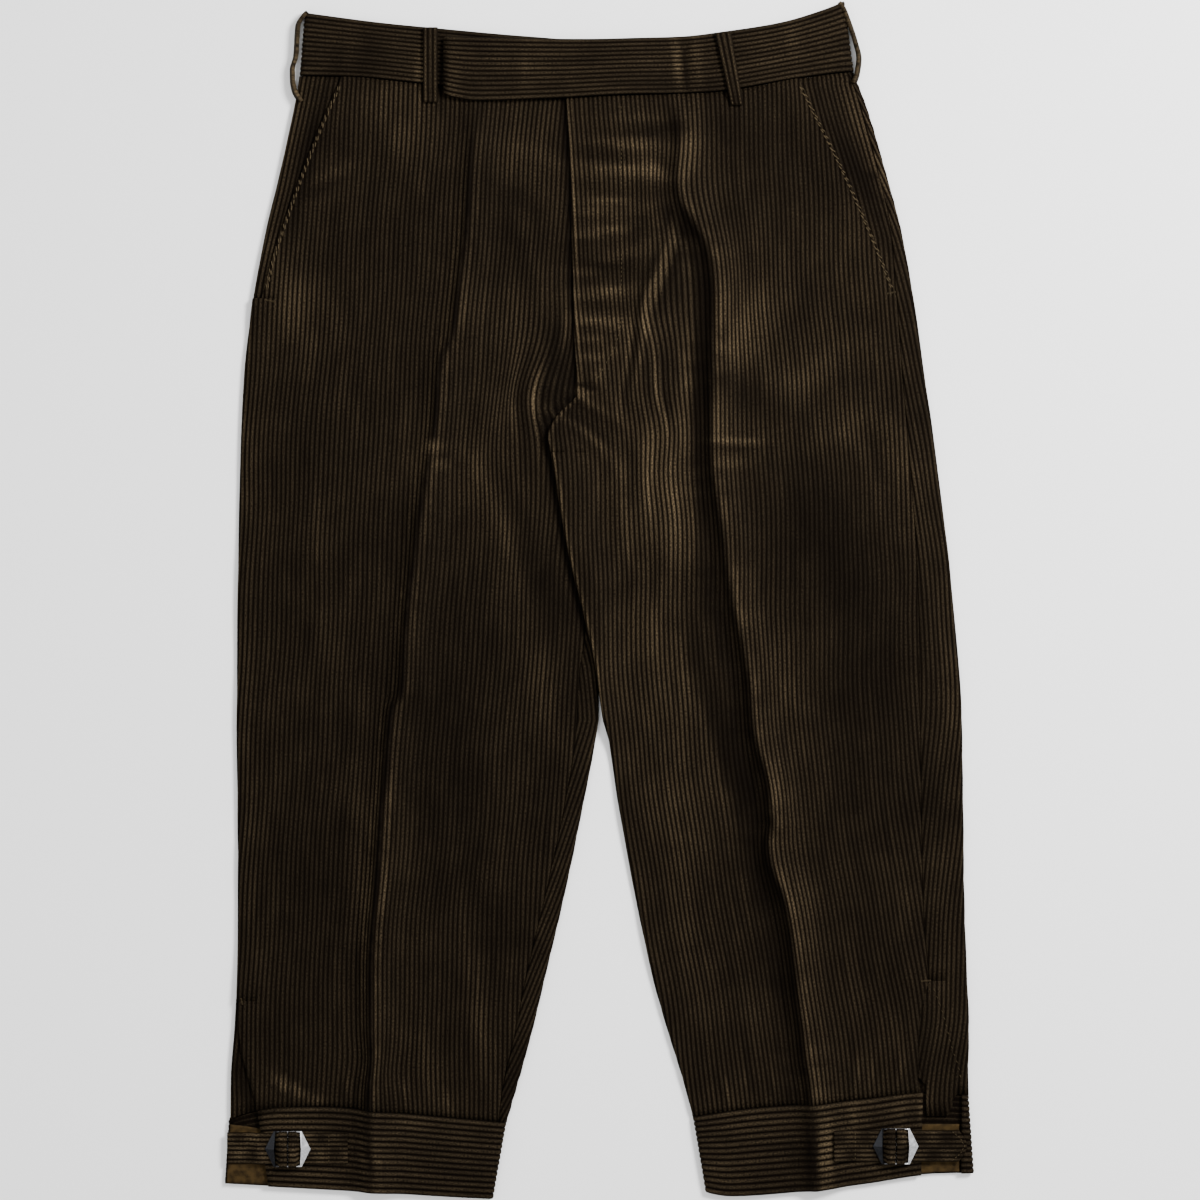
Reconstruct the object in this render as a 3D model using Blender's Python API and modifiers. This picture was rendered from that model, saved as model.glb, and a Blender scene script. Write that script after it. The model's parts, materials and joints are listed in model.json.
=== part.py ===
"""Corduroy knee breeches laid flat, front up, the wearer's right leg at -X and the waist at +Y.

Each cut piece of cloth is one wall of the flattened garment. Its points come from cross-sections:
a top layer, a bottom layer that lies on z = 0, and rounded folds at the sides. A place on the
garment is given by x across it and by `down`, the distance below the highest waistband corner.
All sizes are in millimetres, and MM turns them into metres.
"""
from collections import namedtuple
import math

import bmesh
import bpy

MM = 0.001

# Driving sizes
LENGTH = 894.0            # waistband corner to the lowest hem
CENTRE_X = -0.4           # middle of the garment's width
CLOTH = 1.8               # wall of the corduroy
BAND_WALL = 3.0           # waistband, two plies and a stiffening
CUFF_WALL = 2.4           # knee cuff, two plies
FACING_WALL = 1.0         # thin cuff facing
LOOP_WALL = 2.2           # belt loop
STRAP_WALL = 1.8          # cuff strap
GAP = 0.3                 # between sewn pieces
CUFF_GAP = 0.6            # at the curved cuff seams, whose faces are chords
LEG_STACK = 5.0           # top of the front above the floor where both layers lie flat
BAND_STACK = 7.0
CUFF_STACK = 6.4
FOLD_REACH = 2.5          # how far a leg's side fold curves out
BAND_FOLD = 3.5
CUFF_FOLD = 3.2
LAP = CLOTH + GAP         # rise of a panel that lies over another one
SIDE_TAIL = 10.0          # right front and hip facing go this far round under the side fold
INSEAM_TAIL = 8.0         # left front goes this far round under its inner fold
POCKET_LAP = 9.0          # hip facing's reach under the pocket mouth
FOLD_STEPS = 6            # faces round a fold
FRONT_COLUMNS = {"right": (6, 8), "left": (8, 6)}    # before and after the crease
CUFF_COLUMNS = {"right": (5, 6), "left": (6, 5)}
END_CROWDING = 1.25       # above 1, columns are closer together at a panel's edges
BAND_COLUMNS = (14, 15)   # under and top layer of the right waistband
TAB_COLUMNS = 17          # top layer of the left waistband
BACK_COLUMNS = (15, 15)   # right and left back
STRIP_LEVELS = 3          # rows of points up a band or a cuff

# Stations where something starts or ends
POCKET_END = 222.0
FORK = 337.0
OVERLAP_END = 534.0       # the left leg lies on the right one down to here
RIGHT_VENT = 746.0
LEFT_VENT = 731.0
PANEL_TOP = 62.0          # nominal, before the waist seam's curve
PANEL_BOTTOM = 822.0      # nominal, before the cuff seam's curve
END_FADE = 110.0          # the seams' curves fade out over this length

SideRow = namedtuple("SideRow", "down right_outer left_outer left_outseam_inset")
SIDES = [
    SideRow(52, -224.0, 188.8, 4.5),
    SideRow(75, -227.5, 198.0, 4.8),
    SideRow(134, -240.6, 215.3, 6.0),
    SideRow(171, -249.6, 225.0, 8.0),
    SideRow(222, -258.7, 234.0, 12.7),
    SideRow(283, -266.0, 242.9, 17.0),
    SideRow(358, -268.9, 253.3, 21.0),
    SideRow(432, -270.4, 262.2, 25.0),
    SideRow(544, -271.2, 270.4, 31.5),
    SideRow(656, -270.4, 271.9, 31.3),
    SideRow(730, -271.2, 274.2, 29.0),
    SideRow(767, -272.7, 275.7, 20.0),
    SideRow(805, -275.7, 275.0, 8.0),
    SideRow(842, -276.2, 276.2, 7.0),
]

InsideRow = namedtuple("InsideRow", "down right_inner right_inseam left_inner")
INSIDES = [
    InsideRow(337, -28.3, -33.0, -36.5),
    InsideRow(376, -20.9, -26.0, -30.5),
    InsideRow(422, -11.9, -17.5, -21.2),
    InsideRow(463, -5.2, -10.5, -11.2),
    InsideRow(504, -1.0, -15.5, -2.2),
    InsideRow(534, -0.6, -17.0, 1.4),
    InsideRow(552, -3.4, -18.4, 6.2),
    InsideRow(599, -12.2, -26.1, 13.4),
    InsideRow(656, -23.8, -38.1, 23.8),
    InsideRow(730, -41.0, -55.5, 39.5),
    InsideRow(767, -49.9, -62.6, 49.9),
    InsideRow(805, -60.3, -71.5, 61.8),
    InsideRow(842, -70.8, -76.5, 71.5),
]

CreaseRow = namedtuple("CreaseRow", "down right_x right_rise left_x left_rise")
CREASES = [
    CreaseRow(70, -88.0, 0.8, 64.0, 0.8),
    CreaseRow(110, -92.0, 3.5, 68.0, 4.0),
    CreaseRow(190, -100.0, 4.5, 84.0, 5.5),
    CreaseRow(332, -121.0, 5.5, 86.0, 6.0),
    CreaseRow(447, -141.0, 7.0, 96.0, 7.0),
    CreaseRow(574, -151.0, 8.0, 119.0, 8.5),
    CreaseRow(703, -160.0, 9.0, 142.0, 9.0),
    CreaseRow(830, -168.0, 8.0, 157.0, 8.0),
    CreaseRow(894, -169.5, 6.5, 161.0, 7.0),
]
CREASE_STEEP = 14.0       # run of a crease's slope towards -X
CREASE_GENTLE = 25.0      # run of its slope towards +X

PocketRow = namedtuple("PocketRow", "down right_mouth left_mouth")
POCKETS = [
    PocketRow(58, -192.6, 147.8),
    PocketRow(88, -206.0, 162.6),
    PocketRow(124, -220.5, 180.6),
    PocketRow(163, -234.6, 198.0),
    PocketRow(200, -246.4, 213.2),
    PocketRow(222, -251.3, 221.3),
]

FrontEdgeRow = namedtuple("FrontEdgeRow", "down left_edge right_edge")
FRONT_EDGES = [
    FrontEdgeRow(62, -25.8, 18.0),
    FrontEdgeRow(133, -21.6, 18.0),
    FrontEdgeRow(200, -20.1, 18.0),
    FrontEdgeRow(256, -18.6, 15.0),
    FrontEdgeRow(286, -17.0, 4.0),
    FrontEdgeRow(295, -17.5, -6.0),
    FrontEdgeRow(303, -26.0, -16.0),
    FrontEdgeRow(314, -35.0, -27.0),
    FrontEdgeRow(325, -38.7, -32.0),
    FrontEdgeRow(337, -36.5, -33.3),
]

CENTRE_BACK = [(52, -12.0), (200, -14.0), (290, -22.0), (325, -29.0), (337, -28.3)]

VentRow = namedtuple("VentRow", "down right_front left_front left_back underlap_end")
VENTS = [
    VentRow(731, -268.5, 245.0, 245.2, 238.0),
    VentRow(755, -269.6, 239.1, 254.0, 231.0),
    VentRow(783, -267.6, 236.9, 261.5, 229.0),
    VentRow(795, -264.6, 236.9, 265.6, 229.5),
    VentRow(804, -262.0, 236.9, 267.4, 243.0),
    VentRow(822, -256.5, 240.3, 269.8, 243.0),
]
RIGHT_UNDERLAP = 6.0      # reach of the right vent's underlap beyond the front's edge
LEFT_UNDERLAP_LOW = 832.0  # the left underlap hangs below the cuff seam

SeamPoint = namedtuple("SeamPoint", "x down")
WAIST_SEAM = [
    SeamPoint(-228, 56.0), SeamPoint(-184, 57.0), SeamPoint(-133, 61.8), SeamPoint(-93, 66.5),
    SeamPoint(-25, 72.0), SeamPoint(13, 70.8), SeamPoint(80, 68.5), SeamPoint(147, 58.1),
    SeamPoint(182, 53.6), SeamPoint(192, 53.0),
]
WAIST_TOP = [
    SeamPoint(-221, 8.9), SeamPoint(-164, 16.4), SeamPoint(-127, 20.1), SeamPoint(-52, 26.8),
    SeamPoint(-15, 29.1), SeamPoint(60, 26.8), SeamPoint(97, 22.4), SeamPoint(134, 16.4),
    SeamPoint(171, 5.2), SeamPoint(183, 0.0),
]
TAB_TOP = [SeamPoint(-117, 27.0), SeamPoint(-52, 28.6), SeamPoint(-25, 29.1)]
TAB_LOW = [
    SeamPoint(-117, 70.5), SeamPoint(-108, 73.0), SeamPoint(-93, 75.2), SeamPoint(-36, 73.4),
    SeamPoint(13, 71.0),
]
RIGHT_CUFF_SEAM = [
    SeamPoint(-280, 836.0), SeamPoint(-262, 829.5), SeamPoint(-242, 826.0), SeamPoint(-207, 825.5),
    SeamPoint(-169, 828.4), SeamPoint(-112, 833.7), SeamPoint(-70, 837.4),
]
LEFT_CUFF_SEAM = [
    SeamPoint(70, 832.9), SeamPoint(118, 826.2), SeamPoint(162, 823.2), SeamPoint(200, 819.5),
    SeamPoint(240, 814.6), SeamPoint(278, 817.0),
]
RIGHT_HEM = [
    SeamPoint(-280, 882.8), SeamPoint(-169, 888.8), SeamPoint(-108, 892.5), SeamPoint(-78, 894.0),
]
LEFT_HEM = [
    SeamPoint(76, 888.4), SeamPoint(97, 891.8), SeamPoint(149, 888.4), SeamPoint(196, 882.8),
    SeamPoint(249, 875.4), SeamPoint(280, 874.6),
]

# Waistband ends and sides
TAB_END = -116.6
RIGHT_BAND_END = 18.0
TAB_LINE_END = -30.0      # from here the tab's edges run into the left band's
BAND_SIDE_TOP = (-220.5, 182.5)
BAND_SIDE_LOW = (-224.2, 189.4)

# Cuff ends: x at the seam and at the hem
RIGHT_CUFF_FRONT_END = (-255.5, -247.3)
RIGHT_CUFF_BACK_END = (-276.8, -280.0)
RIGHT_CUFF_INNER = (-69.6, -79.6)
LEFT_CUFF_FRONT_END = (240.6, 239.4)
LEFT_CUFF_BACK_END = (269.8, 269.4)
LEFT_CUFF_OUTER = (275.2, 279.2)
LEFT_CUFF_INNER = (69.0, 78.6)

# Facing inside each back cuff: its upper and lower edge as (x, down)
RIGHT_FACING = [[(-276.0, 838.2), (-259.0, 840.5), (-243.0, 844.5)],
                [(-278.6, 881.8), (-259.0, 882.8), (-243.0, 883.6)]]
LEFT_FACING = [[(235.0, 838.0), (251.0, 838.0), (268.0, 838.0)],
               [(235.0, 875.6), (251.0, 873.8), (268.0, 873.4)]]

# Belt loops
LoopPlace = namedtuple("LoopPlace", "top_x top_down low_x low_down top_width low_width seam")
FRONT_LOOPS = {
    "right": LoopPlace(-126.3, 20.6, -126.3, 76.0, 11.2, 11.2, 62.6),
    "left": LoopPlace(91.6, 24.6, 102.0, 78.2, 12.7, 9.7, 67.0),
}
LOOP_ARCH = [(0.0, 0.0), (0.12, 0.6), (0.4, 1.0), (0.66, 0.4)]    # share of length, rise
SIDE_LOOPS = {            # down, distance out from the band's fold
    "right": [(10, 0.9), (28, 2.2), (46, 3.7), (60, 3.7), (70, 2.4), (79, 0.5)],
    "left": [(1, 1.2), (14, 2.4), (29, 3.7), (42, 3.9), (54, 3.2), (66, 0.8)],
}
SIDE_LOOP_WIDTH = 8.0
LOOP_BAND_START = 4.0     # the band's fold, as the side loops follow it
LOOP_BAND_HEIGHT = 50.0
LOOP_BAND_LOW = 55.0

# Straps and slide buckles
STRAP_WIDTH = 23.6
BUCKLE_HALF_LENGTH = 17.0
BUCKLE_HALF_HEIGHT = 13.4
BUCKLE_PLATE = 1.6
WINDOW_OUTER = 9.2
WINDOW_HALF_HEIGHT = 12.1
MIDDLE_BAR = 0.8          # half of its width
RIGHT_BUCKLE = (-232.4, 855.6)
LEFT_BUCKLE = (220.1, 853.6)
STRAP_THROUGH = [         # distance from the buckle's middle bar, rise
    (11.0, 0.0), (9.3, 0.1), (7.6, 1.9), (6.2, 3.6), (4.2, 4.6), (2.4, 4.5), (0.4, 3.9),
]
RIGHT_STRAP_INNER_END = -188.0
LEFT_STRAP_INNER_END = 174.4
RIGHT_STRAP_OUTER_END = -278.0
LEFT_STRAP_OUTER_END = 273.4

ROWS = [62, 78, 98, 124, 150, 176, 200, 222.3, 252, 280, 303, 314, 325, 337, 352, 376, 400, 422,
        463, 504, 534, 560, 599, 640, 680, 715, 731.3, 746.3, 768, 788, 806, 822]


def curve(points, at):
    """Value at a place on a smooth curve through (place, value) points."""
    places = [point[0] for point in points]
    values = [point[1] for point in points]
    if at <= places[0]:
        return values[0]
    if at >= places[-1]:
        return values[-1]
    slopes = [(values[i + 1] - values[i]) / (places[i + 1] - places[i])
              for i in range(len(places) - 1)]
    tangents = [slopes[0]]
    for before, after in zip(slopes, slopes[1:]):
        same_way = before * after > 0
        tangents.append(2 * before * after / (before + after) if same_way else 0.0)
    tangents.append(slopes[-1])
    index = max(i for i in range(len(places) - 1) if places[i] <= at)
    span = places[index + 1] - places[index]
    t = (at - places[index]) / span
    return ((2 * t ** 3 - 3 * t ** 2 + 1) * values[index]
            + (t ** 3 - 2 * t ** 2 + t) * span * tangents[index]
            + (3 * t ** 2 - 2 * t ** 3) * values[index + 1]
            + (t ** 3 - t ** 2) * span * tangents[index + 1])


def column(rows, name, down):
    return curve([(row.down, getattr(row, name)) for row in rows], down)


def ramp(start, end, at):
    """Smooth 0 to 1 as `at` goes from start to end."""
    t = min(max((at - start) / (end - start), 0.0), 1.0)
    return t * t * (3 - 2 * t)


def mix(a, b, t):
    return a + (b - a) * t


def outer(side, down):
    return column(SIDES, side + "_outer", down)


def inner(side, down):
    return column(INSIDES, side + "_inner", down)


def left_outseam(down):
    if down > LEFT_VENT:
        return column(VENTS, "left_back", down)
    return outer("left", down) - column(SIDES, "left_outseam_inset", down)


def crease_x(side, down):
    return column(CREASES, side + "_x", down)


def crease(side, x, down):
    """Height of the soft pressed crease down the front of a leg, steep towards -X."""
    offset = x - crease_x(side, down)
    run = CREASE_STEEP if offset < 0 else CREASE_GENTLE
    share = min(abs(offset) / run, 1.0)
    return column(CREASES, side + "_rise", down) * (1 - share * share) ** 2


def leg_lap(x, down, start):
    """How far the left leg is raised where it lies on the right leg's inner fold."""
    height = (LEG_STACK + GAP) * ramp(start, FORK - 1, down)
    height *= 1 - ramp(OVERLAP_END, OVERLAP_END + 34, down)
    edge = inner("right", down)
    return height * (1 - ramp(edge + 2, edge + 30, x))


def pocket_lap(side, x, down):
    mouth = column(POCKETS, side + "_mouth", down)
    inward = (x - mouth) if side == "right" else (mouth - x)
    return LAP * (1 - ramp(POCKET_LAP + 7, POCKET_LAP + 27, inward)) * (1 - ramp(224, 252, down))


def vent_lap(side, x, down):
    if side == "right":
        inward = x - column(VENTS, "right_front", down)
        return LAP * (1 - ramp(8, 30, inward)) * ramp(700, RIGHT_VENT, down)
    inward = left_front_outer(down) - x
    return LAP * (1 - ramp(12, 34, inward)) * ramp(690, LEFT_VENT, down)


def front_height(side, x, down):
    """Top of the front above the floor."""
    height = LEG_STACK + crease(side, x, down) + pocket_lap(side, x, down) + vent_lap(side, x, down)
    if side == "left":
        edge = column(FRONT_EDGES, "right_edge", down)
        fly = (LAP + 0.2) * (1 - ramp(edge + 9, edge + 38, x)) * (1 - ramp(303, FORK, down))
        height += fly + leg_lap(x, down, 298)
    return height


def back_height(side, x, down):
    """Underside of the back above the floor."""
    return leg_lap(x, down, 325) if side == "left" else 0.0


def front_bottom(side, x):
    return curve(RIGHT_CUFF_SEAM if side == "right" else LEFT_CUFF_SEAM, x)


def follow_seams(side, x, down, low=None):
    """Moves a nominal station so that the end rows run along the waist and cuff seams."""
    top_shift = curve(WAIST_SEAM, x) + GAP / 2 - PANEL_TOP
    bottom = front_bottom(side, x) if low is None else low
    bottom_shift = bottom - CUFF_GAP / 2 - PANEL_BOTTOM
    top_share = 1 - ramp(PANEL_TOP, PANEL_TOP + END_FADE, down)
    bottom_share = ramp(PANEL_BOTTOM - END_FADE / 2, PANEL_BOTTOM, down)
    return down + top_shift * top_share + bottom_shift * bottom_share


def at_station(side, down, place, low=None):
    """A point (x, down, z) whose x and z come from place(station) at its own shifted station."""
    station = down
    for _ in range(4):
        x, _z = place(station)
        station = follow_seams(side, x, down, low)
    x, z = place(station)
    return (x, station, z)


def spread(count):
    return [i / (count - 1) for i in range(count)]


def run_points(side, down, start, end, height, count, low=None):
    """Points across a layer from x = start(station) to x = end(station)."""
    points = []
    for t in spread(count):
        def place(station, t=t):
            x = mix(start(station), end(station), t)
            return x, height(x, station)
        points.append(at_station(side, down, place, low))
    return points


def crease_steps(start, end, ridge, before, after):
    """Places from start to end: five over a crease's ridge, the rest closer at both ends."""
    foot = ridge - CREASE_STEEP
    far_foot = ridge + CREASE_GENTLE
    steps = [mix(start, foot, t ** END_CROWDING) for t in spread(before + 1)[:-1]]
    steps += [foot, ridge - CREASE_STEEP / 2, ridge, ridge + CREASE_GENTLE / 2, far_foot]
    return steps + [mix(end, far_foot, (1 - t) ** END_CROWDING) for t in spread(after + 1)[1:]]


def front_run(side, down, start, end):
    """Points across a front panel, closer together over the crease."""
    before, after = FRONT_COLUMNS[side]
    points = []
    for index in range(before + after + 5):
        def place(station, index=index):
            steps = crease_steps(start(station), end(station), crease_x(side, station),
                                 before, after)
            return steps[index], front_height(side, steps[index], station)
        points.append(at_station(side, down, place))
    return points


def fold_points(side, down, edge, outward, top, bottom, reach=FOLD_REACH, going_down=True):
    """Points round a side fold, without its two ends, outward = +1 at +X and -1 at -X."""
    points = []
    for step in range(1, FOLD_STEPS):
        angle = math.pi * step / FOLD_STEPS
        if not going_down:
            angle = math.pi - angle

        def place(station, angle=angle):
            start = edge(station) - outward * reach
            low = bottom(start, station)
            half = (top(start, station) - low) / 2
            return start + outward * reach * math.sin(angle), low + half + half * math.cos(angle)
        points.append(at_station(side, down, place))
    return points


def floor(x, down):
    return 0.0


def flat_top(x, down):
    return LEG_STACK


def place_point(point):
    x, down, z = point
    return ((x - CENTRE_X) * MM, (LENGTH / 2 - down) * MM, z * MM)


def cloth_piece(name, rows, wall, material, collection):
    """A grid of points, with None where the piece has been cut away, as a solid wall."""
    mesh = bpy.data.meshes.new(name)
    bm = bmesh.new()
    grid = [[bm.verts.new(place_point(point)) if point else None for point in row]
            for row in rows]
    for upper, lower in zip(grid, grid[1:]):
        for j in range(len(upper) - 1):
            corners = (upper[j], lower[j], lower[j + 1], upper[j + 1])
            if all(corners):
                bm.faces.new(corners)
    bmesh.ops.delete(bm, geom=[v for v in bm.verts if not v.link_faces], context="VERTS")
    bm.to_mesh(mesh)
    bm.free()
    piece = bpy.data.objects.new(name, mesh)
    collection.objects.link(piece)
    solidify = piece.modifiers.new("wall", "SOLIDIFY")
    solidify.thickness = wall * MM
    solidify.offset = -1.0
    solidify.use_even_offset = True
    mesh.materials.append(material)
    return piece


# Panels. Every row of points goes clockwise round the section seen from the hem:
# top layer towards +X, fold at +X, bottom layer towards -X, fold at -X.

def left_front_edge(down):
    return column(FRONT_EDGES, "left_edge", down)


def left_front_outer(down):
    if down <= POCKET_END:
        return column(POCKETS, "left_mouth", down)
    if down > LEFT_VENT:
        return column(VENTS, "left_front", down)
    return left_outseam(down) - GAP


def right_front_outer(down):
    if down <= POCKET_END:
        return column(POCKETS, "right_mouth", down)
    if down > RIGHT_VENT:
        return column(VENTS, "right_front", down)
    return outer("right", down) + FOLD_REACH


def right_front_inner(down):
    if down <= FORK:
        return column(FRONT_EDGES, "right_edge", down)
    return column(INSIDES, "right_inseam", down) - GAP


def side_tail(down):
    """Reach of the right side's pieces under the fold; it runs out at the vent."""
    return mix(SIDE_TAIL, FOLD_REACH + 0.6, ramp(690, RIGHT_VENT - 2, down))


def make_front_right(material, collection):
    side = "right"
    rows = []
    for row in ROWS:
        down = row - GAP if abs(row - RIGHT_VENT) < 1 else row
        folded = POCKET_END < down < RIGHT_VENT
        points = [None] * (FOLD_STEPS + 1)
        if folded:
            tail = run_points(side, down, lambda d: outer(side, d) + side_tail(d),
                              lambda d: outer(side, d) + FOLD_REACH, floor, 2)
            fold = fold_points(side, down, lambda d: outer(side, d), -1,
                               lambda x, d: front_height(side, x, d), floor, going_down=False)
            points = tail + fold
        points += front_run(side, down, right_front_outer, right_front_inner)
        rows.append(points)
        if abs(row - RIGHT_VENT) < 1:
            below = [None] * (FOLD_STEPS + 1)
            rows.append(below + front_run(side, row + 0.1, right_front_outer, right_front_inner))
    return cloth_piece("front_right", rows, CLOTH, material, collection)


def make_front_left(material, collection):
    side = "left"

    def start(down):
        return left_front_edge(down) if down < FORK else inner(side, down) + FOLD_REACH

    rows = []
    for down in ROWS:
        points = [None] * (FOLD_STEPS + 1)
        if down >= FORK:
            tail = run_points(side, down, lambda d: inner(side, d) + INSEAM_TAIL,
                              lambda d: inner(side, d) + FOLD_REACH,
                              lambda x, d: back_height(side, x, d), 2)
            fold = fold_points(side, down, lambda d: inner(side, d), -1,
                               lambda x, d: front_height(side, x, d),
                               lambda x, d: back_height(side, x, d), going_down=False)
            points = tail + fold
        points += front_run(side, down, start, left_front_outer)
        rows.append(points)
    return cloth_piece("front_left", rows, CLOTH, material, collection)


def make_back_right(material, collection):
    side = "right"

    def inner_end(down):
        if down < FORK:
            return curve(CENTRE_BACK, down) - GAP / 2
        return inner(side, down) - FOLD_REACH

    def outer_end(down):
        if down > RIGHT_VENT:
            return outer(side, down) + FOLD_REACH
        return outer(side, down) + side_tail(down) + GAP

    rows = []
    for down in ROWS:
        inseam = [None] * (FOLD_STEPS + 1)
        if down >= FORK:
            inseam = run_points(side, down, lambda d: column(INSIDES, "right_inseam", d),
                                inner_end, flat_top, 2)
            inseam += fold_points(side, down, lambda d: inner(side, d), 1, flat_top, floor)
        points = inseam + run_points(side, down, inner_end, outer_end, floor, BACK_COLUMNS[0])
        underlap = [None] * (FOLD_STEPS + 1)
        if down > RIGHT_VENT:
            underlap = fold_points(side, down, lambda d: outer(side, d), -1, flat_top, floor,
                                   going_down=False)
            underlap += run_points(side, down, lambda d: outer(side, d) + FOLD_REACH,
                                   lambda d: right_front_outer(d) + RIGHT_UNDERLAP, flat_top, 2)
        rows.append(points + underlap)
    return cloth_piece("back_right", rows, CLOTH, material, collection)


def make_back_left(material, collection):
    side = "left"

    def inner_end(down):
        if down < FORK:
            return curve(CENTRE_BACK, down) + GAP / 2
        return inner(side, down) + INSEAM_TAIL + GAP

    rows = []
    for down in ROWS:
        underlap = [None] * 3
        if down > LEFT_VENT:
            underlap = run_points(side, down, lambda d: column(VENTS, "underlap_end", d),
                                  left_outseam, flat_top, 4, low=LEFT_UNDERLAP_LOW)[:3]
        points = underlap
        points += run_points(side, down, left_outseam, lambda d: outer(side, d) - FOLD_REACH,
                             flat_top, 3)
        points += fold_points(side, down, lambda d: outer(side, d), 1, flat_top, floor)
        points += run_points(side, down, lambda d: outer(side, d) - FOLD_REACH, inner_end,
                             lambda x, d: back_height(side, x, d), BACK_COLUMNS[1])
        rows.append(points)
    return cloth_piece("back_left", rows, CLOTH, material, collection)


def make_hip_facings(material, collection):
    """The part of each hip that shows outside the slanted pocket mouth."""
    right_rows = []
    left_rows = []
    for row in [station for station in ROWS if station < POCKET_END + 1]:
        down = min(row, POCKET_END)
        points = run_points("right", down, lambda d: outer("right", d) + SIDE_TAIL,
                            lambda d: outer("right", d) + FOLD_REACH, floor, 2)
        points += fold_points("right", down, lambda d: outer("right", d), -1, flat_top, floor,
                              going_down=False)
        points += run_points("right", down, lambda d: outer("right", d) + FOLD_REACH,
                             lambda d: column(POCKETS, "right_mouth", d) + POCKET_LAP,
                             flat_top, 4)
        right_rows.append(points)
        left_rows.append(run_points("left", down,
                                    lambda d: column(POCKETS, "left_mouth", d) - POCKET_LAP,
                                    lambda d: left_outseam(d) - GAP, flat_top, 4))
    cloth_piece("hip_facing_right", right_rows, CLOTH, material, collection)
    cloth_piece("hip_facing_left", left_rows, CLOTH, material, collection)


# Waistband, cuffs and what lies on them

def strip_rows(path, line_top, line_low):
    """Rows of a band: path(t) gives (x, z) at height share t, the lines give its two edges."""
    rows = []
    for t in spread(STRIP_LEVELS):
        rows.append([(x, mix(line_top(x), line_low(x), t), z) for x, z in path(t)])
    return rows


def line_run(start, end, height, count):
    return [(mix(start, end, t), height(mix(start, end, t))) for t in spread(count)]


def fold_run(edge, outward, top, reach, going_down):
    points = []
    for step in range(1, FOLD_STEPS):
        angle = math.pi * step / FOLD_STEPS
        if not going_down:
            angle = math.pi - angle
        x = edge - outward * reach + outward * reach * math.sin(angle)
        points.append((x, top / 2 + top / 2 * math.cos(angle)))
    return points


def make_waistbands(material, collection):
    def band_top(x):
        return BAND_STACK

    def left_band_top(x):
        lift = BAND_WALL + GAP
        return BAND_STACK + lift * (1 - ramp(RIGHT_BAND_END + 3, RIGHT_BAND_END + 40, x))

    def on_floor(x):
        return 0.0

    def right_path(t):
        side_x = mix(BAND_SIDE_TOP[0], BAND_SIDE_LOW[0], t)
        under, over = BAND_COLUMNS
        path = line_run(CENTRE_BACK[0][1] - GAP / 2, side_x + BAND_FOLD, on_floor, under)
        path += fold_run(side_x, -1, BAND_STACK, BAND_FOLD, False)
        path += line_run(side_x + BAND_FOLD, RIGHT_BAND_END, band_top, over)
        return path

    def left_path(t):
        side_x = mix(BAND_SIDE_TOP[1], BAND_SIDE_LOW[1], t)
        path = line_run(TAB_END, side_x - BAND_FOLD, left_band_top, TAB_COLUMNS)
        path += fold_run(side_x, 1, BAND_STACK, BAND_FOLD, True)
        path += line_run(side_x - BAND_FOLD, CENTRE_BACK[0][1] + GAP / 2, on_floor,
                         BAND_COLUMNS[0])
        return path

    def band_low(x):
        return curve(WAIST_SEAM, x) - GAP / 2

    def band_high(x):
        return curve(WAIST_TOP, x)

    cloth_piece("waistband_right", strip_rows(right_path, band_high, band_low), BAND_WALL,
                material, collection)
    rows = strip_rows(left_path, band_high, band_low)
    for t, row in zip(spread(STRIP_LEVELS), rows):
        for j in range(TAB_COLUMNS):
            x, down, z = row[j]
            if x < RIGHT_BAND_END:
                tab_down = mix(curve(TAB_TOP, x), curve(TAB_LOW, x), t)
                down = mix(tab_down, down, ramp(TAB_LINE_END, RIGHT_BAND_END, x))
                row[j] = (x, down, z)
    cloth_piece("waistband_left", rows, BAND_WALL, material, collection)


def cuff_front(side, t, start, end):
    """(x, z) across the top layer of a cuff at height share t, from -X to +X."""
    down = mix(PANEL_BOTTOM, LENGTH, t)
    before, after = CUFF_COLUMNS[side]
    steps = crease_steps(start, end, crease_x(side, down), before, after)
    return [(x, CUFF_STACK + crease(side, x, down)) for x in steps]


def make_cuffs(material, collection):
    def on_floor(x):
        return 0.0

    def right_path(t):
        inner_x = mix(*RIGHT_CUFF_INNER, t)
        path = cuff_front("right", t, mix(*RIGHT_CUFF_FRONT_END, t), inner_x - CUFF_FOLD)
        path += fold_run(inner_x, 1, CUFF_STACK, CUFF_FOLD, True)
        path += line_run(inner_x - CUFF_FOLD, mix(*RIGHT_CUFF_BACK_END, t), on_floor, 16)
        return path

    def left_path(t):
        inner_x = mix(*LEFT_CUFF_INNER, t)
        outer_x = mix(*LEFT_CUFF_OUTER, t)
        path = line_run(mix(*LEFT_CUFF_BACK_END, t), outer_x - CUFF_FOLD,
                        lambda x: CUFF_STACK, 2)
        path += fold_run(outer_x, 1, CUFF_STACK, CUFF_FOLD, True)
        path += line_run(outer_x - CUFF_FOLD, inner_x + CUFF_FOLD, on_floor, 16)
        path += fold_run(inner_x, -1, CUFF_STACK, CUFF_FOLD, False)
        path += cuff_front("left", t, inner_x + CUFF_FOLD, mix(*LEFT_CUFF_FRONT_END, t))
        return path

    def seam(table):
        return lambda x: curve(table, x) + CUFF_GAP / 2

    def hem(table):
        return lambda x: curve(table, x)

    cloth_piece("cuff_right", strip_rows(right_path, seam(RIGHT_CUFF_SEAM), hem(RIGHT_HEM)),
                CUFF_WALL, material, collection)
    cloth_piece("cuff_left", strip_rows(left_path, seam(LEFT_CUFF_SEAM), hem(LEFT_HEM)),
                CUFF_WALL, material, collection)


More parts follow.
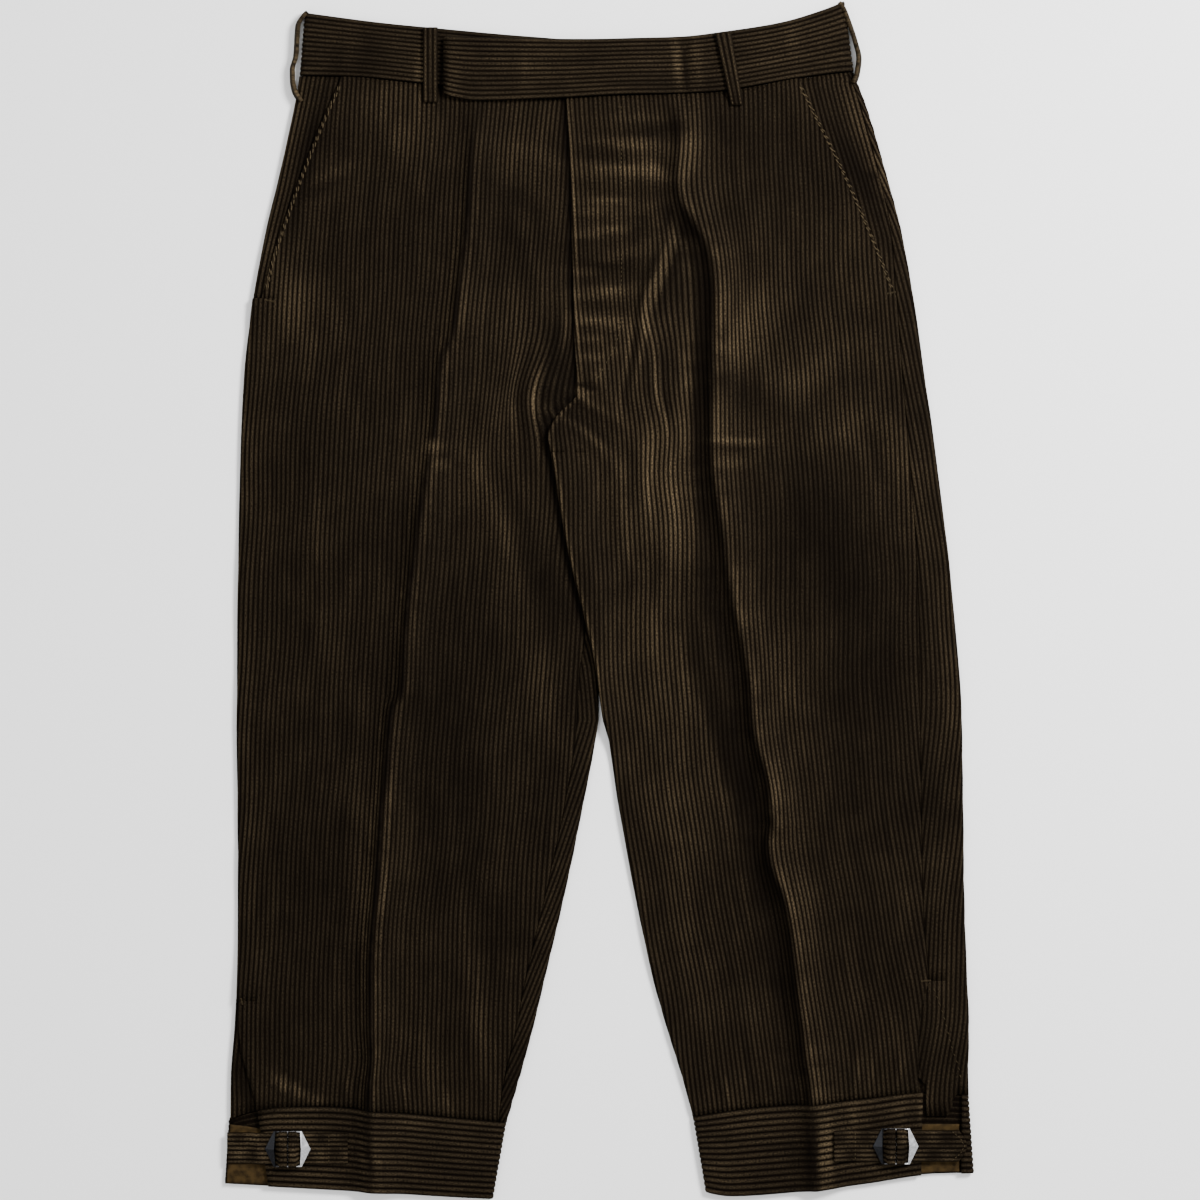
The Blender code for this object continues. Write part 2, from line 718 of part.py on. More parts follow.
def make_cuff_facings(material, collection):
    """Thin facing on the inside of the back cuff, where the open vent shows it."""
    height = CUFF_WALL + GAP + FACING_WALL
    for side, edges in (("right", RIGHT_FACING), ("left", LEFT_FACING)):
        rows = [[(x, down, height) for x, down in edge] for edge in edges]
        cloth_piece("cuff_facing_" + side, rows, FACING_WALL, material, collection)


def make_front_loops(material, collection):
    """Belt loops that lie on the band and are sewn to the front just below it."""
    on_band = BAND_STACK + GAP + LOOP_WALL
    on_front = LEG_STACK + GAP + LOOP_WALL
    for side, loop in FRONT_LOOPS.items():
        stations = [(mix(loop.top_down, loop.low_down, share), on_band + rise)
                    for share, rise in LOOP_ARCH]
        stations.append((loop.seam + 2.5, on_band))
        stations.append((loop.seam + 8.0, on_front + 0.3))
        stations.append((loop.low_down, on_front))
        rows = []
        for down, z in stations:
            t = (down - loop.top_down) / (loop.low_down - loop.top_down)
            middle = mix(loop.top_x, loop.low_x, t)
            half = mix(loop.top_width, loop.low_width, t) / 2
            rows.append([(middle - half, down, z), (middle + half, down, z)])
        cloth_piece("loop_front_" + side, rows, LOOP_WALL, material, collection)


def make_side_loops(material, collection):
    """Belt loops on the side folds, standing on edge and bowed away from the band."""
    for index, (side, bow) in enumerate(SIDE_LOOPS.items()):
        outward = -1 if side == "right" else 1
        rows = []
        for down, away in bow:
            share = max(down - LOOP_BAND_START, 0) / LOOP_BAND_HEIGHT
            edge = mix(BAND_SIDE_TOP[index], BAND_SIDE_LOW[index], share)
            if down > LOOP_BAND_LOW:
                edge = outer(side, down)
            x = edge + outward * (away + LOOP_WALL)
            points = [(x, down, z) for z in (SIDE_LOOP_WIDTH, SIDE_LOOP_WIDTH / 2, 0.0)]
            rows.append(points if outward > 0 else points[::-1])
        cloth_piece("loop_side_" + side, rows, LOOP_WALL, material, collection)


def make_straps(material, collection):
    """Each strap runs under the buckle's end plate, up through its window and over its bar."""
    base = CUFF_STACK + GAP + STRAP_WALL
    low = CUFF_WALL + FACING_WALL + 2 * GAP + STRAP_WALL
    starts = {
        "outer_right": [(RIGHT_STRAP_OUTER_END, low), (-270.0, low), (-262.5, low),
                        (-254.5, base)],
        "inner_right": [(RIGHT_STRAP_INNER_END, base), (-204.0, base)],
        "outer_left": [(LEFT_STRAP_OUTER_END, base), (252.0, base)],
        "inner_left": [(LEFT_STRAP_INNER_END, base + 3.8), (180.5, base + 1.8), (188.0, base)],
    }
    for name, start in starts.items():
        centre = LEFT_BUCKLE if name.endswith("left") else RIGHT_BUCKLE
        outward = 1 if name in ("inner_right", "outer_left") else -1
        path = list(start)
        path += [(centre[0] + outward * to_bar, base + rise) for to_bar, rise in STRAP_THROUGH]
        if outward > 0:
            path.reverse()
        rows = []
        for share in (-0.5, 0.5):
            rows.append([(x, centre[1] + share * STRAP_WIDTH, z) for x, z in path])
        cloth_piece("strap_" + name, rows, STRAP_WALL, material, collection)


def make_buckles(material, collection):
    """Flat slide buckle: a six-sided plate with a window each side of its middle bar."""
    length, height = BUCKLE_HALF_LENGTH, BUCKLE_HALF_HEIGHT
    shoulder = WINDOW_OUTER + 1.2
    outline = [(-length, 0), (-shoulder, -height), (shoulder, -height), (length, 0),
               (shoulder, height), (-shoulder, height)]
    windows = []
    for sign in (-1, 1):
        near, far = sign * MIDDLE_BAR, sign * WINDOW_OUTER
        windows.append([(near, -WINDOW_HALF_HEIGHT), (far, -WINDOW_HALF_HEIGHT),
                        (far, WINDOW_HALF_HEIGHT), (near, WINDOW_HALF_HEIGHT)])
    base = CUFF_STACK + STRAP_WALL + 2 * GAP + BUCKLE_PLATE / 2
    for name, centre in (("buckle_right", RIGHT_BUCKLE), ("buckle_left", LEFT_BUCKLE)):
        data = bpy.data.curves.new(name, "CURVE")
        data.dimensions = "2D"
        data.fill_mode = "BOTH"
        data.extrude = BUCKLE_PLATE / 2 * MM
        for loop in [outline] + windows:
            spline = data.splines.new("POLY")
            spline.points.add(len(loop) - 1)
            spline.use_cyclic_u = True
            for point, (x, y) in zip(spline.points, loop):
                point.co = (x * MM, y * MM, 0, 1)
        guide = bpy.data.objects.new(name + "_outline", data)
        collection.objects.link(guide)
        guide.location = place_point((centre[0], centre[1], base))
        bpy.context.view_layer.update()
        evaluated = guide.evaluated_get(bpy.context.evaluated_depsgraph_get())
        mesh = bpy.data.meshes.new_from_object(evaluated)
        bm = bmesh.new()
        bm.from_mesh(mesh)
        bmesh.ops.remove_doubles(bm, verts=bm.verts, dist=0.00001)
        bmesh.ops.recalc_face_normals(bm, faces=bm.faces)
        bm.to_mesh(mesh)
        bm.free()
        buckle = bpy.data.objects.new(name, mesh)
        buckle.matrix_world = guide.matrix_world.copy()
        bpy.data.objects.remove(guide)
        collection.objects.link(buckle)
        mesh.materials.append(material)


def make_material(name, colour, roughness, metallic):
    material = bpy.data.materials.new(name)
    material.use_nodes = True
    shader = material.node_tree.nodes["Principled BSDF"]
    shader.inputs["Base Color"].default_value = (*colour, 1.0)
    shader.inputs["Roughness"].default_value = roughness
    shader.inputs["Metallic"].default_value = metallic
    return material


def main():
    for item in list(bpy.data.objects):
        bpy.data.objects.remove(item)
    collection = bpy.data.collections.new("knee_breeches")
    bpy.context.scene.collection.children.link(collection)
    corduroy = make_material("brown_corduroy", (0.055, 0.040, 0.024), 0.9, 0.0)
    facing = make_material("tan_facing", (0.23, 0.14, 0.06), 0.8, 0.0)
    steel = make_material("buckle_steel", (0.62, 0.62, 0.64), 0.25, 1.0)
    make_front_right(corduroy, collection)
    make_front_left(corduroy, collection)
    make_back_right(corduroy, collection)
    make_back_left(corduroy, collection)
    make_hip_facings(corduroy, collection)
    make_waistbands(corduroy, collection)
    make_cuffs(corduroy, collection)
    make_cuff_facings(facing, collection)
    make_front_loops(corduroy, collection)
    make_side_loops(corduroy, collection)
    make_straps(corduroy, collection)
    make_buckles(steel, collection)


main()
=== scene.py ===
# %% [markdown]
# # Corduroy knee breeches, laid flat
#
# These are heavy brown corduroy breeches that fasten below the knee with a strap and a slide
# buckle. They lie on a table, front up. Each cut piece of cloth is made as a thin shell in the
# shape it has there: it runs over the top, round the side fold and back underneath. The frame
# from the CAD model says where everything goes, so nothing has to be fitted by eye.

# %% Load the frame
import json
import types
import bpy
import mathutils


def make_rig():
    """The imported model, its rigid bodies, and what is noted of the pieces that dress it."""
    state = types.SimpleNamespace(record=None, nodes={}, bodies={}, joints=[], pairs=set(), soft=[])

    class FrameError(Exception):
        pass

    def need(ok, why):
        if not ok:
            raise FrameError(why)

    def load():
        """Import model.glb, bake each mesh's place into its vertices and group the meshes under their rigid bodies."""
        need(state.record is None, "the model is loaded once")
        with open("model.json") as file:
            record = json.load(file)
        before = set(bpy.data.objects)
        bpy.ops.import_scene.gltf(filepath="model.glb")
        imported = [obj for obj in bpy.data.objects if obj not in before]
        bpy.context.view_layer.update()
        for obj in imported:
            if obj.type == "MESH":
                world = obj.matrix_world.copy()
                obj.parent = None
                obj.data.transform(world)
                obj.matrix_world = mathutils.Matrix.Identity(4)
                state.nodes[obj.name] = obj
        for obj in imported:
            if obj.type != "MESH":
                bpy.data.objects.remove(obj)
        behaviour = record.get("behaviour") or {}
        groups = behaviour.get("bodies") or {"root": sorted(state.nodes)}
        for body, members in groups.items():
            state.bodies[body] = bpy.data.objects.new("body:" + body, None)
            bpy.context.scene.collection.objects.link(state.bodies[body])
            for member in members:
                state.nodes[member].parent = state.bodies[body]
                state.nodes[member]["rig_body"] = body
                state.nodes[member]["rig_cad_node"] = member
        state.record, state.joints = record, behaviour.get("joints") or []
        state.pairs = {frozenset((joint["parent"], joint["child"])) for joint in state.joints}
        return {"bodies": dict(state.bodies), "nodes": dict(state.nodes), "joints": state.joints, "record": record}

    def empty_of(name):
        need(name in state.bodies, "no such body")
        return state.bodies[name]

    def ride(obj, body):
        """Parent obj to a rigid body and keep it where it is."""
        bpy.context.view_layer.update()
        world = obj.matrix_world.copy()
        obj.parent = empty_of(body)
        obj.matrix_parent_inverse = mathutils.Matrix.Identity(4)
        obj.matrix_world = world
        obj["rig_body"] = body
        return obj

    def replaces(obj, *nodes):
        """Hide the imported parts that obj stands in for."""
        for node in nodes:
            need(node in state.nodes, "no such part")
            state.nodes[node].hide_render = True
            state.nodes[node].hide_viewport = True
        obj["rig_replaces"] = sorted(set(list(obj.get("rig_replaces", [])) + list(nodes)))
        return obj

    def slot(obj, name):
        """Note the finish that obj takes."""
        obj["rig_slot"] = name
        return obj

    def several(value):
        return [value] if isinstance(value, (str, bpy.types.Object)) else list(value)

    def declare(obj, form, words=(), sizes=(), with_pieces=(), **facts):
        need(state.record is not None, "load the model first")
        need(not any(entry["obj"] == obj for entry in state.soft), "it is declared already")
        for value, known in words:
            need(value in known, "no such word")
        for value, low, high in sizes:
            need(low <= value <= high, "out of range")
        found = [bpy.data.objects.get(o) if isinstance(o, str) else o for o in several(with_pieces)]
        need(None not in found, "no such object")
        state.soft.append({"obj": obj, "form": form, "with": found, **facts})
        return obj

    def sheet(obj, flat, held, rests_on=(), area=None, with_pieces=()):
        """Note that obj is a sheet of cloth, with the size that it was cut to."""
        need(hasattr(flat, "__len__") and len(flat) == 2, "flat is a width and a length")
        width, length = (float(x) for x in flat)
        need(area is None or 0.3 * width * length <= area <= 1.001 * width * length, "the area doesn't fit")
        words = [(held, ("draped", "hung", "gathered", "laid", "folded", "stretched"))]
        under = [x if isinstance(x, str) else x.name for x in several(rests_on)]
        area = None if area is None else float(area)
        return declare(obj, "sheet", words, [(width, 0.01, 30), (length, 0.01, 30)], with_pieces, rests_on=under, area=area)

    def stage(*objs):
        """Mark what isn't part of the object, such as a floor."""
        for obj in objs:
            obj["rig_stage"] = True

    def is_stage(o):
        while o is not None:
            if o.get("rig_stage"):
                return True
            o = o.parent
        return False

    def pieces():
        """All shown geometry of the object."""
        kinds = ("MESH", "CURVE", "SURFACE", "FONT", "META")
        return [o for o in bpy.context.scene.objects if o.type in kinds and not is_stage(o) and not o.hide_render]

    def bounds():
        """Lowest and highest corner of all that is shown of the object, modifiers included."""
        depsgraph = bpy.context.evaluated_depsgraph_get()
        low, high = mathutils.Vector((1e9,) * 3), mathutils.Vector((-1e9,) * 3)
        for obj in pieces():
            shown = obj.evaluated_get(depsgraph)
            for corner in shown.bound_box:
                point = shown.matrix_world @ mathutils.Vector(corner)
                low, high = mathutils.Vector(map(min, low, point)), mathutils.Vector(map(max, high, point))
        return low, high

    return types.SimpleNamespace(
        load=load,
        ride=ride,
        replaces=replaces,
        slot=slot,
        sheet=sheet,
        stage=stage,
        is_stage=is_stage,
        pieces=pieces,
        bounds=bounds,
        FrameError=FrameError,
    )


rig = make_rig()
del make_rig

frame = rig.load()

import json
import math
from collections import namedtuple

import bmesh
import bpy
import numpy as np

MM = 0.001
CAD_BOX = [list(corner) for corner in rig.bounds()]
MIDDLE = [(low + high) / 2 for low, high in zip(*CAD_BOX)]
print("nodes:", len(frame["nodes"]), "box from", CAD_BOX[0], "to", CAD_BOX[1])

# %% [markdown]
# ## Places on the garment
#
# A tailor measures down from the waist and out from the middle, so a place here is x across the
# garment and `down` below the highest corner of the waistband, in millimetres. One function
# turns that into metres in the frame, centred on the box that the frame gives.

# %% Places
LENGTH = 894.0
CENTRE_X = -0.4


def to_frame(points):
    """Rows of (x, down, z) in millimetres as metres in the frame."""
    x, down, z = np.moveaxis(np.asarray(points, float), -1, 0)
    return np.stack([(x - CENTRE_X) * MM + MIDDLE[0], (LENGTH / 2 - down) * MM + MIDDLE[1], z * MM], -1)


print("the waist corner lies at", to_frame([183.0, 0.0, 7.0]))

# %% [markdown]
# ## Sizes that all the pieces share
#
# The walls are the real cloth's thickness. A corduroy wale is one raised rib of pile, and this
# heavy cloth has one every 3.5 mm. The heights of the layers decide how the garment is stacked
# where one piece lies over another.

# %% Shared sizes
WALE = 3.5
WALE_DEPTH = 0.75
CLOTH = 1.8
BAND_WALL = 3.0
CUFF_WALL = 2.4
FACING_WALL = 1.0
LOOP_WALL = 2.2
STRAP_WALL = 1.8
GAP = 0.3
CUFF_GAP = 0.6
CUFF_TUCK = 0.9
LEG_STACK = 5.0
BAND_STACK = 7.0
CUFF_STACK = 6.4
FOLD_REACH = 2.5
BAND_FOLD = 3.5
CUFF_FOLD = 3.2
LAP = CLOTH + GAP
SIDE_TAIL = 10.0
INSEAM_TAIL = 8.0
POCKET_LAP = 9.0
PANEL_TOP = 62.0
POCKET_END = 222.15
FORK = 337.0
OVERLAP_END = 534.0
LEFT_VENT = 731.0
RIGHT_VENT = 746.0
PANEL_BOTTOM = 822.0
END_FADE = 110.0
print("wales across a 200 mm leg:", round(200 / WALE))

# %% [markdown]
# ## The outlines as tables
#
# The outline, the seams, the pressed creases and the pocket mouths are smooth lines, so each is
# kept as a few measured places with names. A piece is never drawn point by point: every place
# between these comes from a smooth curve through them.

# %% Outlines and seams
def table_of(kind, rows):
    """A table with named columns, from its rows."""
    return [kind(*row) for row in rows]


Bell = namedtuple("Bell", "offset width amount")
SideRow = namedtuple("SideRow", "down right_outer left_outer left_outseam_inset")
SIDES = table_of(SideRow, [
    (52, -224.0, 188.8, 4.5), (75, -227.5, 198.0, 4.8), (134, -240.6, 215.3, 6.0),
    (171, -249.6, 225.0, 8.0), (222, -258.7, 234.0, 12.7), (283, -266.0, 242.9, 17.0),
    (358, -268.9, 253.3, 21.0), (432, -270.4, 262.2, 25.0), (544, -271.2, 270.4, 31.5),
    (656, -270.4, 271.9, 31.3), (730, -271.2, 274.2, 29.0), (767, -272.7, 275.7, 20.0),
    (805, -275.7, 275.0, 8.0), (842, -276.2, 276.2, 7.0),
])
InsideRow = namedtuple("InsideRow", "down right_inner right_inseam left_inner")
INSIDES = table_of(InsideRow, [
    (337, -28.3, -33.0, -36.5), (376, -20.9, -26.0, -30.5), (422, -11.9, -17.5, -21.2),
    (463, -5.2, -10.5, -11.2), (504, -1.0, -15.5, -2.2), (534, -0.6, -17.0, 1.4),
    (552, -3.4, -18.4, 6.2), (599, -12.2, -26.1, 13.4), (656, -23.8, -38.1, 23.8),
    (730, -41.0, -55.5, 39.5), (767, -49.9, -62.6, 49.9), (805, -60.3, -71.5, 61.8),
    (842, -70.8, -76.5, 71.5),
])
CreaseRow = namedtuple("CreaseRow", "down right_rise left_rise")
CREASES = table_of(CreaseRow, [
    (70, 0.8, 0.8), (110, 3.5, 4.0), (190, 4.5, 5.5), (332, 5.5, 6.0), (447, 7.0, 7.0),
    (574, 8.0, 8.5), (703, 8.6, 8.8), (830, 7.8, 7.8), (894, 6.3, 6.8),
])
CREASE_LINES = {
    "right": [(70, -92), (96, -94), (150, -97), (200, -103), (250, -108), (264, -116), (332, -125),
              (400, -136), (447, -142), (483, -145), (518, -148), (527, -154), (566, -157),
              (626, -163), (685, -167), (745, -170), (805, -171), (894, -171)],
    "left": [(70, 59), (83, 59), (112, 61), (149, 65), (191, 78), (260, 82), (332, 85), (415, 95),
             (486, 108), (511, 112), (542, 115), (561, 120), (581, 125), (603, 126), (615, 130),
             (623, 127), (640, 129), (655, 134), (673, 140), (715, 146), (781, 154), (816, 158),
             (894, 162)],
}
CREASE_STEEP = 14.0
CREASE_GENTLE = 25.0
CREASE_PINCH = table_of(Bell, [(0.0, 2.4, 0.9), (-6.5, 2.8, -1.5), (6.0, 3.0, -0.7)])
PINCH_RISE = 8.0
PocketRow = namedtuple("PocketRow", "down right_mouth left_mouth")
POCKETS = table_of(PocketRow, [
    (58, -192.6, 147.8), (88, -206.0, 162.6), (124, -220.5, 180.6), (163, -234.6, 198.0),
    (200, -246.4, 213.2), (222, -251.3, 221.3),
])
FrontEdgeRow = namedtuple("FrontEdgeRow", "down left_edge right_edge")
FRONT_EDGES = table_of(FrontEdgeRow, [
    (62, -25.8, 18.0), (133, -21.6, 18.0), (200, -20.1, 18.0), (256, -18.6, 15.0),
    (286, -17.0, 4.0), (295, -17.5, -6.0), (303, -26.0, -16.0), (314, -35.0, -27.0),
    (325, -38.7, -32.0), (337, -36.5, -33.3),
])
CENTRE_BACK = [(52, -12.0), (200, -14.0), (290, -22.0), (325, -29.0), (337, -28.3)]
VentRow = namedtuple("VentRow", "down right_front left_front left_back underlap_end")
VENTS = table_of(VentRow, [
    (731, -268.5, 245.0, 245.2, 238.0), (755, -269.6, 239.1, 254.0, 231.0),
    (783, -267.6, 236.9, 261.5, 229.0), (795, -264.6, 236.9, 265.6, 229.5),
    (804, -262.0, 236.9, 267.4, 243.0), (822, -256.5, 240.3, 269.8, 243.0),
])
RIGHT_UNDERLAP = 6.0
LEFT_UNDERLAP_LOW = 832.0
WAIST_SEAM = [(-228, 56.0), (-184, 57.0), (-133, 61.8), (-93, 66.5), (-25, 72.0), (13, 70.8),
              (80, 68.5), (147, 58.1), (182, 53.6), (192, 53.0)]
WAIST_TOP = [(-221, 8.9), (-164, 16.4), (-127, 20.1), (-52, 26.8), (-15, 29.1), (60, 26.8),
             (97, 22.4), (134, 16.4), (171, 5.2), (183, 0.0)]
CUFF_SEAMS = {
    "right": [(-280, 836.0), (-262, 829.5), (-242, 826.0), (-207, 825.5), (-169, 828.4),
              (-112, 833.7), (-70, 837.4)],
    "left": [(70, 832.9), (118, 826.2), (162, 823.2), (200, 819.5), (240, 814.6), (278, 817.0)],
}
HEMS = {
    "right": [(-280, 882.8), (-169, 888.8), (-108, 892.5), (-78, 894.0)],
    "left": [(76, 888.4), (97, 891.8), (149, 888.4), (196, 882.8), (249, 875.4), (280, 874.6)],
}


print("tables of the outline:", len(SIDES), "places at the sides,", len(INSIDES), "inside")

# %% [markdown]
# ## Smooth curves and fades
#
# `smooth` joins the places of a table without overshooting, `line` does so for one column of a
# table, and `ramp` and `fall` fade something in or out. `bell` is a soft bump across a line,
# and a table of bells is a profile such as that of a pinched crease.

# %% Curves and fades
def smooth(points, at):
    """Values at places on a smooth curve through (place, value) points."""
    places, values = np.array(points, float).T
    at = np.clip(np.asarray(at, float), places[0], places[-1])
    slopes = np.diff(values) / np.diff(places)
    product, total = slopes[:-1] * slopes[1:], slopes[:-1] + slopes[1:]
    same_way = product > 0
    between = np.where(same_way, 2 * product / np.where(same_way, total, 1.0), 0.0)
    tangents = np.concatenate([slopes[:1], between, slopes[-1:]])
    i = np.clip(np.searchsorted(places, at, side="right") - 1, 0, len(places) - 2)
    span = places[i + 1] - places[i]
    t = (at - places[i]) / span
    return ((2 * t ** 3 - 3 * t ** 2 + 1) * values[i] + (t ** 3 - 2 * t ** 2 + t) * span * tangents[i]
            + (3 * t ** 2 - 2 * t ** 3) * values[i + 1] + (t ** 3 - t ** 2) * span * tangents[i + 1])


def line(rows, name, down):
    return smooth([(row.down, getattr(row, name)) for row in rows], down)


def ramp(start, end, at):
    """Smooth 0 to 1 as `at` goes from start to end."""
    t = np.clip((at - start) / (end - start), 0.0, 1.0)
    return t * t * (3 - 2 * t)


def fall(start, width, at):
    """1 up to start, then smoothly down to 0 over the width."""
    return 1 - ramp(start, start + width, at)


def mix(a, b, t):
    return a + (b - a) * t


def bell(offset, width):
    """1 on the line and fading to both sides, for distances from the line."""
    return np.exp(-(offset / width) ** 2)


def bells(profile, offset):
    return sum(row.amount * bell(offset - row.offset, row.width) for row in profile)


print("leg widths at the knee:", line(INSIDES, "right_inner", 700) - line(SIDES, "right_outer", 700),
      line(SIDES, "left_outer", 700) - line(INSIDES, "left_inner", 700))

# %% [markdown]
# ## How high the cloth stands
#
# Flat cloth is never quite flat. A soft pressed crease runs down each leg, a panel rises where
# it lies on another, and the seams are sunk because the stitches pull them down. Each of these
# is a short formula, and together they give the height of the front at any place.

# %% Heights of the front
def outer(side, down):
    return line(SIDES, side + "_outer", down)


def inner(side, down):
    return line(INSIDES, side + "_inner", down)


def left_outseam(down):
    above = outer("left", down) - line(SIDES, "left_outseam_inset", down)
    return np.where(down > LEFT_VENT, line(VENTS, "left_back", down), above)


def crease(side, x, down):
    """Height of the pressed crease, steep towards -X and gentle towards +X, pinched on top."""
    offset = x - smooth(CREASE_LINES[side], down)
    share = np.clip(np.abs(offset) / np.where(offset < 0, CREASE_STEEP, CREASE_GENTLE), 0, 1)
    profile = (1 - share ** 2) ** 2 + bells(CREASE_PINCH, offset) / PINCH_RISE
    return line(CREASES, side + "_rise", down) * profile


def leg_lap(x, down, start):
    """How far the left leg is raised where it lies on the right leg's inner fold."""
    height = (LEG_STACK + GAP) * ramp(start, FORK - 1, down) * fall(OVERLAP_END, 34, down)
    return height * fall(inner("right", down) + 2, 24, x)


def front_outer(side, down):
    """Where the front ends at the side: pocket mouth, side seam or vent."""
    mouth = line(POCKETS, side + "_mouth", down)
    vent = line(VENTS, side + "_front", down)
    if side == "right":
        seam = outer(side, down) + FOLD_REACH
        return np.where(down < POCKET_END, mouth, np.where(down > RIGHT_VENT, vent, seam))
    seam = left_outseam(down) - GAP
    return np.where(down < POCKET_END, mouth, np.where(down > LEFT_VENT, vent, seam))


LAP_FALL = 22.0
LAP_STARTS = {"right": 700.0, "left": 690.0}
LAP_EDGES = {"right": 8.0, "left": 12.0}


def front_height(side, x, down):
    """Top of the front above the table, without its small wrinkles."""
    height = LEG_STACK + crease(side, x, down)
    mouth = line(POCKETS, side + "_mouth", down)
    into_front = x - mouth if side == "right" else mouth - x
    height = height + LAP * fall(POCKET_LAP + 2, LAP_FALL, into_front) * fall(224, 28, down)
    if side == "right":
        from_vent, vent = x - line(VENTS, "right_front", down), RIGHT_VENT
    else:
        from_vent, vent = front_outer("left", down) - x, LEFT_VENT
    over_vent = fall(LAP_EDGES[side], LAP_FALL, from_vent) * ramp(LAP_STARTS[side], vent, down)
    height = height + LAP * over_vent
    if side == "right":
        return height
    edge = line(FRONT_EDGES, "right_edge", down)
    fly = (LAP + 0.2) * fall(edge + 9, 29, x) * fall(303, FORK - 303, down)
    return height + fly + leg_lap(x, down, 298)


print("front over the crease at the knee:", front_height("left", np.array([119.0]), 574.0))
